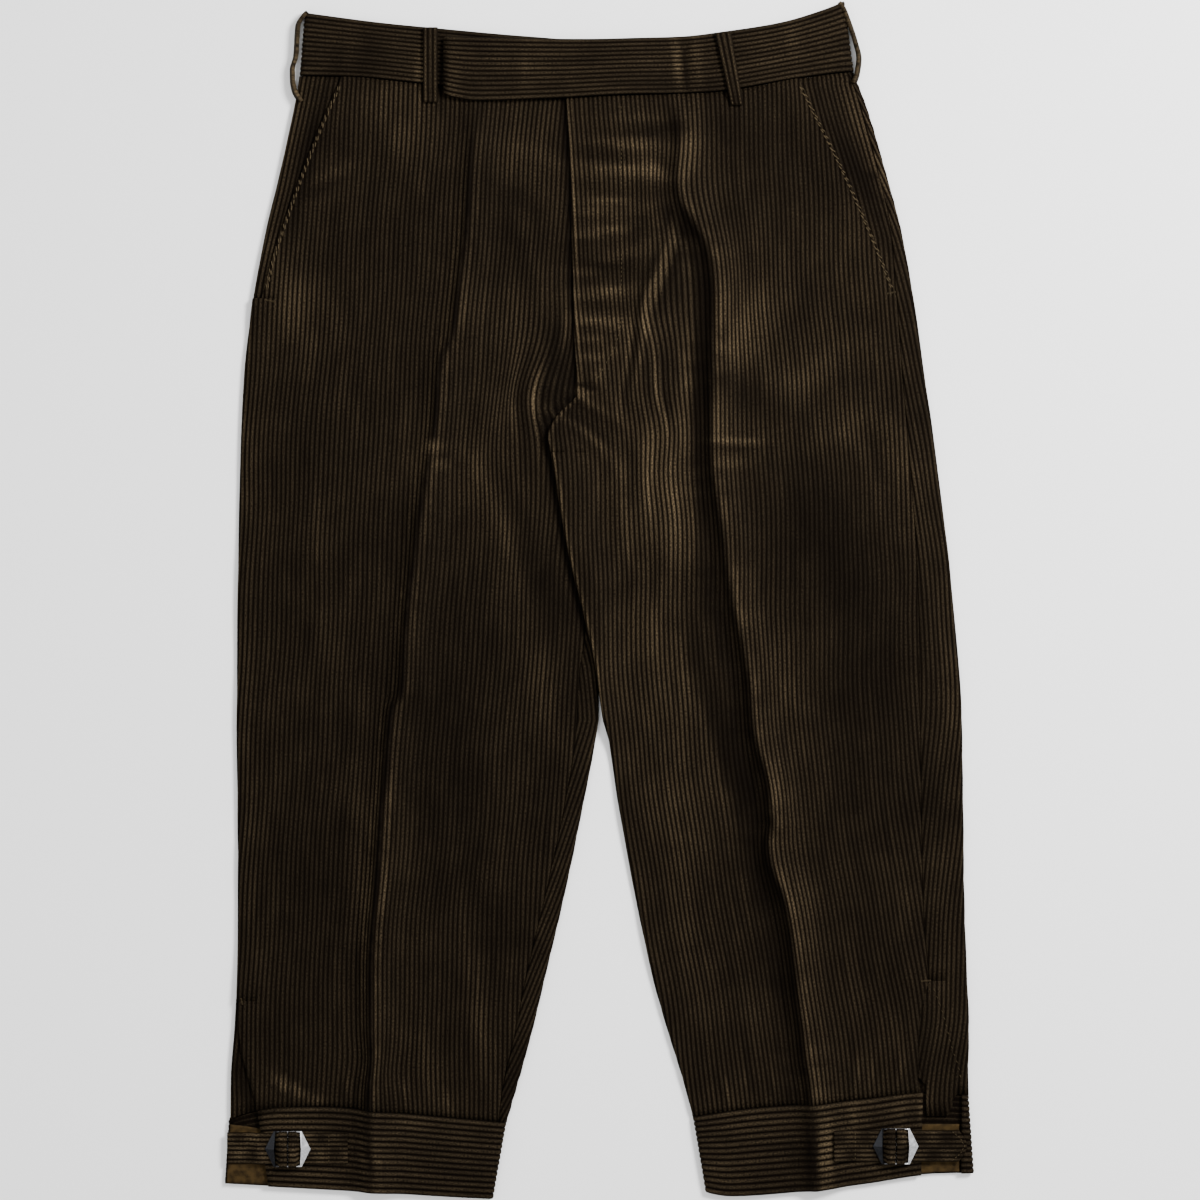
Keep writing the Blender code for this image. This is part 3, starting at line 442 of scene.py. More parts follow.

# %% [markdown]
# ## Wrinkles
#
# Wearing and folding leave small ridges and hollows that are never even, so each one is listed:
# its middle, its half-length, its half-width, its turn and its height. A turn of 0 runs
# across the garment and 90 down it. All have the same bell shape, so one sum over the table
# gives the height anywhere. Ridges keep their height, but a hollow can't sink far, because the
# back of the leg lies below it.

# %% Wrinkles
Spot = namedtuple("Spot", "x down half_long half_wide turn amount")
HOLLOW_DEPTH = 1.4
WRINKLES = table_of(Spot, [
    # across the fly, between its edge and the left crease
    (30, 92, 30, 5, -4, 1.2), (36, 100, 26, 5, -10, -1.6), (14, 110, 30, 5, 4, 1.6),
    (6, 121, 22, 4, 4, -1.9), (44, 122, 12, 6, 30, -1.4), (34, 134, 26, 7, 4, 2.0),
    (-6, 134, 14, 5, 0, 1.0), (8, 146, 22, 4, 2, -1.7), (34, 152, 22, 5, -18, -1.2),
    (-8, 160, 16, 4, -4, 1.2), (12, 168, 26, 5, -12, -1.6), (42, 158, 16, 6, -40, 1.8),
    (-6, 176, 20, 4, -8, 1.9), (26, 180, 26, 5, -24, -2.0), (20, 194, 30, 6, -12, 2.1),
    (-6, 200, 20, 4, 2, -1.8), (12, 212, 26, 5, -8, -1.7), (2, 222, 24, 5, -4, 1.8),
    (30, 226, 22, 6, -40, 1.2), (4, 234, 22, 4, 0, -1.7), (0, 244, 20, 5, 8, 1.6),
    (-8, 255, 14, 4, -8, 1.4), (-4, 262, 12, 3, -10, -1.6), (6, 266, 10, 3, -30, 1.2),
    (-11, 289.2, 7, 1.5, 4, -2.6), (-12, 294, 9, 2.5, -18, 1.1), (-4, 281, 8, 3, -30, 1.1),
    # drag lines between the fly and the crease
    (42, 202, 40, 3.4, 108, 1.7), (50, 206, 36, 3.0, 106, -1.4), (32, 250, 34, 3.2, 100, 1.5),
    (24, 262, 34, 3.0, 100, -1.4), (-34, 258, 30, 4, 100, 1.2), (-38, 290, 26, 3, 96, -1.4),
    (-46, 300, 30, 4, 94, 1.3), (-56, 296, 34, 4, 92, -1.0), (40, 276, 40, 4, 84, 1.2),
    (48, 300, 40, 4, 82, -1.1), (30, 330, 50, 6, 88, 0.8), (52, 345, 50, 6, 94, 0.9),
    (40, 352, 60, 5, 92, -0.7), (22, 372, 60, 6, 86, -0.6), (60, 400, 60, 6, 88, -0.7),
    # hollow beside the left crease
    (60, 172, 16, 8, 40, -2.0), (68, 200, 34, 7, 84, -2.6), (70, 240, 46, 8, 88, -2.8),
    (70, 286, 44, 7, 92, -2.4), (72, 340, 60, 6, 90, -1.6),
    # drag lines from the crotch
    (-12, 300, 24, 4, 32, 1.2), (-20, 312, 26, 4, 38, -1.2), (-6, 330, 34, 5, 52, 0.9),
    (16, 318, 40, 7, 62, 0.9), (-60, 300, 46, 7, -38, 0.8), (-74, 340, 50, 7, -46, -0.8),
    # knee marks
    (-124, 335, 16, 4, 12, 1.1), (-118, 343, 16, 3, 18, -1.0), (104, 332, 24, 4, 4, 1.2),
    (100, 341, 22, 3, 8, -1.0), (128, 326, 16, 4, -24, 0.9),
    # left leg, right of its crease
    (118, 246, 54, 10, -58, 1.4), (150, 290, 46, 9, -40, 1.0), (140, 262, 44, 7, -46, -1.0),
    (176, 330, 40, 9, -30, 0.9), (206, 350, 40, 9, 70, -0.8), (60, 390, 44, 9, 84, 0.9),
    (34, 420, 60, 9, 80, -0.7), (40, 500, 70, 10, 78, 0.9), (82, 540, 60, 8, 74, -1.2),
    (66, 470, 50, 8, 88, -0.9), (176, 470, 60, 10, 80, -0.6), (196, 560, 80, 10, 86, 0.7),
    (150, 668, 50, 8, 84, 0.6), (196, 700, 60, 9, 92, -0.6),
    # right leg
    (-66, 356, 60, 11, 70, 0.9), (-88, 372, 44, 9, 68, 0.9), (-58, 420, 50, 9, 74, -0.8),
    (-200, 250, 60, 10, 64, 0.8), (-178, 300, 60, 9, 70, -0.8), (-214, 420, 80, 10, 88, 0.6),
    (-196, 560, 80, 9, 92, -0.6), (-120, 610, 80, 10, 84, 0.6), (-92, 700, 60, 9, 80, -0.6),
    (-60, 180, 50, 9, 70, 0.8), (-48, 120, 30, 8, 20, 0.8), (-150, 120, 46, 9, 60, 0.7),
    # small ridge above the right cuff, and the gathers there
    (-240, 809, 10, 3, 36, 0.9), (-226, 816, 10, 3, 24, 0.8), (-212, 821, 9, 3, 12, 0.8),
    (-230, 805, 14, 3, 30, -0.8), (-190, 812, 8, 3, 84, 0.7), (-146, 816, 9, 3, 88, 0.6),
    (-112, 818, 8, 3, 80, -0.6), (92, 812, 10, 3, 78, 0.8), (110, 806, 10, 3, 84, -0.7),
    (128, 808, 10, 3, 82, 0.7), (190, 800, 12, 3, 96, 0.8), (206, 798, 12, 3, 98, -0.7),
    (222, 796, 12, 3, 100, 0.8),
    # waistband
    (63, 46, 22, 3, 88, -1.8), (70, 48, 22, 4, 88, 1.2), (56, 48, 20, 4, 86, 0.8),
    (-60, 50, 18, 5, 84, 0.5), (140, 34, 18, 5, 80, 0.6), (-190, 34, 18, 6, 96, 0.5),
])


def spots(table, x, down):
    """Sum of the bell-shaped spots of a table at places on the garment."""
    total = np.zeros(np.broadcast(x, down).shape)
    for spot in table:
        turn = math.radians(spot.turn)
        across, along = x - spot.x, down - spot.down
        u = (across * math.cos(turn) + along * math.sin(turn)) / spot.half_long
        v = (along * math.cos(turn) - across * math.sin(turn)) / spot.half_wide
        total = total + spot.amount * np.exp(-u * u - v * v)
    return total


def pressed(height):
    """Ridges keep their height, but hollows can't sink far into the cloth below."""
    return np.where(height < 0, HOLLOW_DEPTH * np.tanh(height / HOLLOW_DEPTH), height)


print("wrinkles:", len(WRINKLES))

# %% [markdown]
# ## Patches of the pile, with painted shade and highlights
#
# Corduroy looks light or dark by the way its pile leans. Handling brushes it in soft patches,
# which are placed with the same kind of spot: a positive amount is lighter, and a negative one
# is darker. Some patches are painted shadows and highlights instead: painted shadows in the
# vents, at the fly's foot and beside the tab's end, painted shade in the hollow beside the left
# crease, painted shade and highlights on the band's pucker, the pocket edges, the gathers and
# the cuffs' creases, and a painted shadow and highlight on the right leg beside the left leg's
# inner edge. They change the colour only, not the shape.

# %% Pile patches and painted light
PILE_AND_PAINTED_LIGHT_PATCHES = table_of(Spot, [
    # left front, under the band and above the knee; painted shade in the hollow by the crease
    (69, 106, 26, 6, 84, 0.7), (56, 92, 12, 5, 80, -1.0), (108, 290, 34, 15, 34, -1.0),
    (62, 206, 34, 7, 88, -0.5),
    # waistband beside the loops; painted shadow and highlight at the tab's end and the pucker
    (-134, 50, 20, 3, 90, 1.1), (-119, 52, 26, 2.4, 90, -1.6), (-109, 56, 22, 4, 90, 0.7),
    (62, 46, 24, 2.2, 88, -1.5), (68, 48, 24, 3, 88, 0.8), (56, 48, 22, 3, 86, 0.8),
    (-170, 40, 30, 12, 90, -0.4), (-20, 40, 40, 10, 0, -0.3), (44, 62, 30, 6, 0, -0.4),
    # fly foot: painted shadow in the slit, a painted highlight below it, darker places beside it
    (-12, 289.5, 10, 2.0, 8, -2.4), (-12, 294.5, 10, 1.8, -12, 1.2), (-28, 280, 20, 7, 78, -0.7),
    (-34, 250, 26, 6, 84, -0.6),
    # painted shadows in the vents and their underlaps, and a lighter place on the left one
    (-266, 806, 22, 6, 72, -1.2), (-250, 826, 18, 5, -8, -0.7), (240, 790, 30, 7, 96, -0.6),
    (246, 826, 14, 5, 80, 0.5), (250, 834, 14, 3, 0, -0.9),
    # knee marks
    (104, 328.5, 26, 2.0, 0, 0.9), (112, 339, 28, 2.4, 0, 0.7), (-124, 333, 9, 2.0, 10, 1.1),
    (-125, 340, 8, 2.0, 24, 0.8),
    # broad dark places, and painted shade and highlights along the pocket edges
    (40, 100, 26, 7, -8, -0.8), (-130, 500, 120, 30, 86, -0.25), (-215, 640, 180, 34, 88, -0.2),
    (-100, 640, 160, 30, 82, -0.2), (200, 480, 120, 34, 82, -0.45), (160, 400, 60, 22, 60, -0.6),
    (-60, 150, 20, 10, 30, -0.5), (130, 120, 50, 26, 70, -0.35), (206, 120, 56, 6, 68, 0.9),
    (191, 130, 62, 6, 66, -0.8), (-218, 120, 60, 6, 107, -0.9), (-198, 128, 18, 4, -22, 0.7),
    (-206, 140, 16, 4, -24, -0.6), (206, 131, 14, 2.5, 12, -0.8), (213, 149, 12, 2.5, 16, -0.7),
    # broad light places down both fronts and the band, with painted shade and highlights among them
    (52, 330, 60, 16, 88, 0.4), (60, 400, 60, 16, 86, 0.4), (-234, 112, 50, 6, 106, 0.7),
    (-140, 160, 60, 20, 84, -0.1), (-262, 600, 200, 6, 89, 0.35), (262, 500, 90, 8, 89, 0.45),
    (258, 690, 60, 8, 92, 0.25), (90, 470, 40, 10, 76, -0.5), (30, 120, 42, 26, -30, 0.75),
    (22, 160, 40, 14, -10, 0.3), (20, 244, 44, 26, -8, 0.6), (20, 330, 42, 30, 70, 0.55),
    (45, 380, 52, 18, 88, 0.85), (70, 250, 60, 9, 88, -0.55), (110, 246, 44, 20, -66, 1.1),
    (140, 290, 52, 18, -42, 0.9), (176, 322, 34, 18, -36, 0.7), (228, 352, 50, 14, 80, 0.7),
    (180, 220, 60, 30, 80, 0.15), (40, 520, 90, 26, 78, 0.5), (96, 560, 110, 10, 72, -0.45),
    (126, 660, 120, 9, 78, -0.4), (138, 500, 60, 12, 76, 0.45), (146, 700, 90, 12, 82, 0.35),
    (180, 560, 180, 30, 86, -0.15), (52, 620, 60, 20, 76, 0.35), (-236, 210, 60, 16, 66, 0.5),
    (-262, 330, 60, 10, 84, 0.4), (-220, 226, 30, 18, 80, 0.4), (-84, 360, 40, 20, 74, 0.55),
    (-54, 112, 30, 26, 60, 0.45), (-62, 240, 40, 22, 80, 0.3), (-40, 432, 34, 14, 66, -0.7),
    (-42, 520, 50, 14, 72, 0.45), (-178, 620, 120, 12, 86, 0.2), (-110, 560, 120, 26, 86, -0.15),
    (-180, 560, 200, 30, 88, -0.05), (10, 42, 60, 18, 4, 0.3), (-70, 40, 50, 16, 6, 0.3),
    (130, 38, 40, 20, -12, 0.4),
    # cuffs and gathers: painted highlights and shade on the creases' ridges and flanks and the gathers
    (-240, 860, 40, 26, 0, 0.5), (168.5, 858, 26, 4.5, 88, 1.5), (158, 858, 28, 5, 88, -1.5),
    (223, 831, 10, 3, 88, 0.9), (190, 830, 10, 3, 88, 0.7), (240, 830, 10, 3, 90, 0.8),
    (206, 834, 8, 3, 90, -0.6), (-239, 810, 11, 2.4, 36, 0.3), (-224, 817, 10, 2.4, 22, 0.3),
    (-210, 822, 8, 2.4, 10, 0.3), (-182, 860, 28, 5, 90, -0.45),
    # right hip, and both legs above the cuffs
    (-90, 100, 40, 12, 80, -0.25), (-150, 90, 40, 26, 80, 0.45), (-88, 768, 44, 8, 80, 0.6),
    (66, 680, 60, 9, 84, 0.45), (-176, 700, 60, 6, 86, 0.35), (-130, 790, 30, 12, 60, 0.35),
    (92, 820, 20, 12, 30, 0.35), (-60, 800, 26, 6, 104, -0.6),
])
print("pile patches:", len(PILE_AND_PAINTED_LIGHT_PATCHES))

# %% [markdown]
# ## Wales that bend
#
# Wales don't run dead straight on a worn garment: they sway round a pulled place. Here the
# amount of a spot is how far, in millimetres, it pushes the wales towards +X.

# %% Sways
SWAYS = table_of(Spot, [
    (86, 215, 60, 24, 90, 5.5), (60, 140, 26, 22, 90, -4.5), (36, 226, 34, 16, 90, -4.0),
    (44, 262, 22, 18, 90, 1.6), (40, 292, 22, 18, 90, -1.6), (48, 322, 22, 18, 90, 1.8),
    (44, 352, 24, 20, 90, -1.4), (54, 388, 26, 20, 90, 1.4), (60, 430, 30, 20, 90, -1.2),
    (-34, 246, 30, 16, 90, 2.6), (-46, 292, 30, 20, 90, -8.5), (-70, 330, 40, 20, 90, -2.4),
    (-150, 500, 40, 20, 90, 1.6), (-160, 545, 40, 20, 90, -1.8), (124, 600, 26, 16, 90, 1.6),
    (128, 632, 26, 16, 90, -1.8), (120, 300, 50, 40, 90, -1.6), (180, 420, 70, 40, 90, 1.2),
    (-220, 380, 80, 30, 90, -1.2), (-90, 420, 80, 30, 90, 1.3), (190, 640, 80, 40, 90, -1.2),
    (-110, 700, 60, 30, 90, -1.3), (-180, 790, 16, 16, 90, 2.0), (-150, 800, 16, 16, 90, -1.6),
    (148, 790, 20, 14, 90, -1.4),
])
print("sways:", len(SWAYS))

# %% [markdown]
# ## Marks that follow a line
#
# Some marks follow a line the whole way, so they aren't spots. The pressed crease has painted
# shade on its line and painted highlights beside it, as lit from the right. The free edge of the
# left front has a painted highlight, and the right front, which it lies on, has a painted shade
# beside that edge.

# %% Marks along lines
CREASE_LIGHT_AND_SHADE = {
    "right": table_of(Bell, [(4.2, 3.2, 0.8), (-6.2, 3.0, 0.7), (-1.0, 2.0, -2.0)]),
    "left": table_of(Bell, [(3.0, 4.0, 0.9), (11.0, 8.0, 0.35), (-3.4, 2.0, -1.0),
                            (-14.0, 9.0, -0.75)]),
}
EDGE_SHADE = Bell(-1.6, 2.6, -1.4)
EDGE_HIGHLIGHT = Bell(2.0, 1.4, 1.3)


def painted_crease_light(side, x, down):
    """Painted shade on the crease's line and steep side, and painted highlights beside it."""
    offset = x - smooth(CREASE_LINES[side], down)
    uneven = 0.7 + 0.3 * np.sin(down * 0.23 + 3 * np.sin(down * 0.071))
    # the painted crease light and shade grow stronger down the right leg
    worn = 0.8 + 0.4 * ramp(380, 620, down) if side == "right" else 1.0
    return bells(CREASE_LIGHT_AND_SHADE[side], offset) * worn * uneven * ramp(76, 130, down)


def lapped_edge(down):
    """Free edge of the left front: down the fly, round the fork and on down the leg's inner fold."""
    return np.where(down <= FORK, line(FRONT_EDGES, "left_edge", down), inner("left", down))


def edge_mark(mark, x, down):
    return bells([mark], x - lapped_edge(down)) * (down < OVERLAP_END)


def plain_marks(x, down):
    return 0 * x * down


def right_painted_light(x, down):
    return painted_crease_light("right", x, down) + edge_mark(EDGE_SHADE, x, down)


def left_painted_light(x, down):
    return painted_crease_light("left", x, down) + edge_mark(EDGE_HIGHLIGHT, x, down)


print("marks across a crease:", {side: len(marks) for side, marks in CREASE_LIGHT_AND_SHADE.items()})

# %% [markdown]
# ## How bright the pile looks, with painted light and shade
#
# Patches, marks and the slopes of the wrinkles are added up, and the exponential of the sum is
# what the colour is multiplied by, so equal steps look equal. Every slope gets a painted sheen.
# A slope that faces the waist or the left leg's outer side, towards the light, gets a painted
# highlight, and one that faces the other way gets painted shade.

# %% Pile and painted light
TOWARDS_LIGHT = 2.0
LIGHT_FROM_ABOVE = 0.75
PAINTED_SLOPE_SHEEN = 0.9
SLOPE_STEP = 0.9
DARKEST, BRIGHTEST = -1.9, 1.4


def pile_and_painted_light(x, down, marks):
    """What the colour is multiplied by: the pile's patches, with painted light and shade from the marks and the
    slopes.
    """
    across = spots(WRINKLES, x + SLOPE_STEP, down) - spots(WRINKLES, x - SLOPE_STEP, down)
    along = spots(WRINKLES, x, down + SLOPE_STEP) - spots(WRINKLES, x, down - SLOPE_STEP)
    across, along = across / (2 * SLOPE_STEP), along / (2 * SLOPE_STEP)
    # painted light and shade by how a slope faces the light, and a painted sheen on every slope
    painted_slope_light = TOWARDS_LIGHT * (LIGHT_FROM_ABOVE * along - across) + PAINTED_SLOPE_SHEEN * np.hypot(across, along)
    total = spots(PILE_AND_PAINTED_LIGHT_PATCHES, x, down) + painted_slope_light + marks(x, down)
    return np.exp(np.clip(total, DARKEST, BRIGHTEST))


print("pile from", round(math.exp(DARKEST), 2), "to", round(math.exp(BRIGHTEST), 2), "times plain")

# %% [markdown]
# ## Sunk seams
#
# The stitches pull each seam down a little, and the cut edges roll over into it. Each seam is
# one shallow bell across its line, which is taken off the height of the cloth.

# %% Seams
SeamDip = namedtuple("SeamDip", "width depth")
SIDE_DIP = SeamDip(2.0, 0.9)
END_DIP = SeamDip(3.0, 1.0)
TURNED_DIP = SeamDip(1.3, 1.3)


def dip(kind, offset):
    return kind.depth * bell(offset, kind.width)


def seam_dip(side, x, down):
    """How deep the seams are sunk at places on the front."""
    total = dip(SIDE_DIP, x - front_outer(side, down)) * (down > POCKET_END + 4)
    for seam in (WAIST_SEAM, CUFF_SEAMS[side]):
        total = total + dip(END_DIP, down - smooth(seam, x))
    if side == "right":
        inseam = line(INSIDES, "right_inseam", down)
        return total + dip(SIDE_DIP, x - inseam) * (down > FORK)
    turned_edge = line(VENTS, "left_back", down)
    return total + dip(TURNED_DIP, x - turned_edge) * (down > LEFT_VENT + 4)


print("waist seam sunk by", seam_dip("left", 100.0, float(smooth(WAIST_SEAM, 100.0))), "mm")

# %% [markdown]
# ## Sums on node sockets
#
# A material or a node tree is easier to read as a sum than as a row of boxes. This small class
# wraps one socket: adding, multiplying and so on put in the Math nodes, and `add` puts in any
# other node with its settings first and then its inputs.

# %% Wire class
class Wire:
    """One socket of a node tree, which can be used in sums."""

    def __init__(self, tree, socket=None):
        self.tree = tree
        self.socket = socket

    def add(self, kind, settings=None, inputs=None, output=0):
        node = self.tree.nodes.new(kind)
        for name, value in (settings or {}).items():
            setattr(node, name, value)
        for name, value in (inputs or {}).items():
            if isinstance(value, Wire):
                self.tree.links.new(value.socket, node.inputs[name])
            else:
                node.inputs[name].default_value = value
        return Wire(self.tree, node.outputs[output])

    def maths(self, operation, *terms):
        return self.add("ShaderNodeMath", {"operation": operation}, dict(enumerate(terms)))

    def __add__(self, other):
        return self.maths("ADD", self, other)

    __radd__ = __add__

    def __sub__(self, other):
        return self.maths("SUBTRACT", self, other)

    def __rsub__(self, other):
        return self.maths("SUBTRACT", other, self)

    def __mul__(self, other):
        return self.maths("MULTIPLY", self, other)

    __rmul__ = __mul__

    def __pow__(self, other):
        return self.maths("POWER", self, other)

    def crest(self):
        """0 in the groove between two wales and 1 on the middle of each, once for every 1."""
        return self.maths("ABSOLUTE", self.maths("SINE", self * math.pi))


print("a wire can be used with:", sorted(name for name in vars(Wire) if name[:2] == "__"))

# %% [markdown]
# ## The corduroy's colour
#
# Each wale is a ridge of upright pile: its colour has a painted highlight on its rounded top and
# painted shade, very dark, in the groove, and it has flecks where single tufts catch the light.
# The cloth carries its own measures, wales across and distance along, so the flecks follow the
# wales wherever the cloth turns. Every wale is a little lighter or darker than the next, and soft
# clouds and rubbed places lie over all of that. The pile measure, which holds the pile's patches
# together with painted light and shade, brightens or darkens the colour. Where the pile measure
# is low the ribs stand out less, so `clear` mixes their pattern with a plain tone.
# A very faint sheen on the shader gives the edges their bloom.

# %% Corduroy
def new_material(name, roughness, metallic=0.0):
    material = bpy.data.materials.new(name)
    material.use_nodes = True
    shader = material.node_tree.nodes["Principled BSDF"]
    shader.inputs["Roughness"].default_value = roughness
    shader.inputs["Metallic"].default_value = metallic
    return material, shader, Wire(material.node_tree)


def mixed(wire, factor, dark, light):
    """Colour from dark to light."""
    return wire.add("ShaderNodeMix", {"data_type": "RGBA"},
                    {"Factor": factor, 6: (*dark, 1.0), 7: (*light, 1.0)}, output=2)


def noise(wire, vector, scale, detail=2.0):
    return wire.add("ShaderNodeTexNoise", {}, {"Vector": vector, "Scale": scale, "Detail": detail})


def measure(wire, name):
    return wire.add("ShaderNodeAttribute", {"attribute_name": name}, output=2)


CORD_DARK = (0.0010, 0.0004, 0.0001)
CORD_LIGHT = (0.205, 0.147, 0.080)
CORD_BRIGHTNESS = 0.060
PLAIN_RIB_TONE = 0.36
TUFTS_ACROSS, TUFTS_ALONG = 5.0, 2.4
STRAND_APART, STRAND_ALONG = 7.3, 0.07


def make_corduroy():
    material, shader, wire = new_material("brown_corduroy_pile", 0.85)
    # the pile measure holds painted light and shade as well as the pile's own patches
    wale, along, pile = measure(wire, "wale"), measure(wire, "along"), measure(wire, "pile")
    place = wire.add("ShaderNodeTexCoord", output=3)
    own = wale.maths("FLOOR", wale)
    tuft_place = wire.add("ShaderNodeCombineXYZ", {},
                          {0: wale * TUFTS_ACROSS, 1: along * TUFTS_ALONG, 2: 0.0})
    tufts = noise(wire, tuft_place, 1.0, 3.0)
    strand_place = wire.add("ShaderNodeCombineXYZ", {},
                            {0: own * STRAND_APART, 1: along * STRAND_ALONG, 2: 0.0})
    strands = noise(wire, strand_place, 1.0, 1.0)
    clouds = noise(wire, place, 17.0, 2.0)
    rubbed = noise(wire, place, 60.0, 3.0)
    clear = wire.add("ShaderNodeClamp", {}, {0: 0.4 + 0.45 * pile})
    # painted highlight on each wale's top and painted shade, very dark, in each groove
    light = PLAIN_RIB_TONE * (1.0 - clear) + wale.crest() ** 2.0 * clear
    light = light * ((tufts - 0.30) * 4.9) * (0.40 + 1.2 * strands)
    light = light * (0.30 + 1.4 * clouds) * (0.6 + 0.8 * rubbed) * pile
    factor = wire.add("ShaderNodeClamp", {}, {0: light * CORD_BRIGHTNESS})
    tree = material.node_tree
    tree.links.new(mixed(wire, factor, CORD_DARK, CORD_LIGHT).socket, shader.inputs["Base Color"])
    tree.links.new((0.95 - 0.2 * wale.crest()).socket, shader.inputs["Roughness"])
    fuzz = wire.add("ShaderNodeBump", {}, {"Strength": 0.35, "Distance": 0.0006, "Height": tufts})
    tree.links.new(fuzz.socket, shader.inputs["Normal"])
    shader.inputs["Sheen Weight"].default_value = 0.008
    shader.inputs["Sheen Roughness"].default_value = 0.45
    shader.inputs["Sheen Tint"].default_value = (0.60, 0.46, 0.28, 1.0)
    shader.inputs["Specular IOR Level"].default_value = 0.03
    return material


CORDUROY = make_corduroy()
print("corduroy nodes:", len(CORDUROY.node_tree.nodes))

# %% [markdown]
# ## Facing, thread and steel
#
# The facing is a thin tan twill, woven with a fine diagonal. The stitches are a waxed brown
# thread, a little lighter than the cloth. The buckles are polished steel that is worn unevenly,
# so a fine noise changes their roughness, and one end is painted nearly black as a dark
# reflection, which an attribute tells the material.

# %% Facing, thread and steel
TWILL_DARK, TWILL_LIGHT = (0.0026, 0.0014, 0.0004), (0.034, 0.0205, 0.0068)
TWILL_LINES = 900.0
THREAD_DARK, THREAD_LIGHT = (0.006, 0.0042, 0.0016), (0.078, 0.055, 0.026)
STEEL_DARK, STEEL_LIGHT = (0.003, 0.0035, 0.005), (0.95, 0.95, 0.97)
DARK_END_REFLECTION = 0.982


def make_facing():
    material, shader, wire = new_material("tan_twill", 0.8)
    place = wire.add("ShaderNodeTexCoord", output=3)
    parts = wire.add("ShaderNodeSeparateXYZ", {}, {0: place})
    upright = Wire(wire.tree, parts.socket.node.outputs[1])
    diagonal = ((parts + upright) * TWILL_LINES).crest()
    light = 0.25 * diagonal + 2.4 * (noise(wire, place, 210.0, 4.0) - 0.28)
    colour = mixed(wire, light, TWILL_DARK, TWILL_LIGHT)
    material.node_tree.links.new(colour.socket, shader.inputs["Base Color"])
    shader.inputs["Sheen Weight"].default_value = 0.01
    shader.inputs["Specular IOR Level"].default_value = 0.05
    return material


def make_thread():
    material, shader, wire = new_material("waxed_thread", 0.6)
    place = wire.add("ShaderNodeTexCoord", output=3)
    ply = noise(wire, place, 1400.0, 1.0)
    colour = mixed(wire, ply, THREAD_DARK, THREAD_LIGHT)
    material.node_tree.links.new(colour.socket, shader.inputs["Base Color"])
    shader.inputs["Specular IOR Level"].default_value = 0.1
    return material


def make_steel():
    material, shader, wire = new_material("polished_steel", 0.2, metallic=1.0)
    place = wire.add("ShaderNodeTexCoord", output=3)
    worn = noise(wire, place, 420.0, 4.0)
    tree = material.node_tree
    tree.links.new((0.14 + 0.22 * worn).socket, shader.inputs["Roughness"])
    # the end that the attribute marks gets a painted dark reflection
    shine = (0.3 + 0.7 * worn) * (1.0 - DARK_END_REFLECTION * measure(wire, "painted_dark_end"))
    colour = mixed(wire, shine, STEEL_DARK, STEEL_LIGHT)
    tree.links.new(colour.socket, shader.inputs["Base Color"])
    return material


FACING, THREAD, STEEL = make_facing(), make_thread(), make_steel()
print("materials:", [m.name for m in (CORDUROY, FACING, THREAD, STEEL)])

# %% [markdown]
# ## Raising the wales
#
# The ribs repeat across the whole garment, so Geometry Nodes raise them: every point of the
# cloth knows its place in wales, and the tree pushes it in towards the groove along its own
# normal. The depth is a named input, so bands and thin straps can use a shallower rib.

# %% Wale tree
WALE_ROUNDNESS = 0.6


def make_wale_tree():
    tree = bpy.data.node_groups.new("corduroy_wales", "GeometryNodeTree")
    tree.interface.new_socket("Cloth", in_out="INPUT", socket_type="NodeSocketGeometry")
    tree.interface.new_socket("Wale depth", in_out="INPUT", socket_type="NodeSocketFloat")
    tree.interface.new_socket("Pile", in_out="INPUT", socket_type="NodeSocketMaterial")
    tree.interface.new_socket("Cloth", in_out="OUTPUT", socket_type="NodeSocketGeometry")
    wire = Wire(tree)
    cloth = wire.add("NodeGroupInput")
    depth, pile = (Wire(tree, cloth.socket.node.outputs[i]) for i in (1, 2))
    wale = wire.add("GeometryNodeInputNamedAttribute", {"data_type": "FLOAT"}, {"Name": "wale"})
    sunk = (wale.crest() ** WALE_ROUNDNESS - 1.0) * depth
    push = wire.add("ShaderNodeVectorMath", {"operation": "SCALE"},
                    {0: wire.add("GeometryNodeInputNormal"), "Scale": sunk})
    raised = wire.add("GeometryNodeSetPosition", {}, {"Geometry": cloth, "Offset": push})
    plain = wire.add("GeometryNodeRealizeInstances", {}, {"Geometry": raised})
    dyed = wire.add("GeometryNodeSetMaterial", {}, {"Geometry": plain, "Material": pile})
    out = tree.nodes.new("NodeGroupOutput")
    tree.links.new(dyed.socket, out.inputs[0])
    return tree


WALE_TREE = make_wale_tree()
print("inputs of the wale tree:", [item.name for item in WALE_TREE.interface.items_tree])

# %% [markdown]
# ## Running a node tree
#
# A Geometry Nodes modifier would stay live, so its result is kept as a plain mesh and the
# modifier is removed. An input is found by its name once, and set by its identifier.

# %% Run a tree
def socket_id(tree, name):
    return next(item.identifier for item in tree.interface.items_tree
                if item.item_type == "SOCKET" and item.in_out == "INPUT" and item.name == name)


def run_tree(piece, tree, values):
    """Runs a node tree on an object and keeps the result as its plain mesh."""
    modifier = piece.modifiers.new(tree.name, "NODES")
    modifier.node_group = tree
    for name, value in values.items():
        modifier[socket_id(tree, name)] = value
    bpy.context.view_layer.update()
    made = piece.evaluated_get(bpy.context.evaluated_depsgraph_get())
    mesh = bpy.data.meshes.new_from_object(made)
    piece.modifiers.clear()
    piece.data = mesh
    return piece


print("the wale tree's depth is", socket_id(WALE_TREE, "Wale depth"))

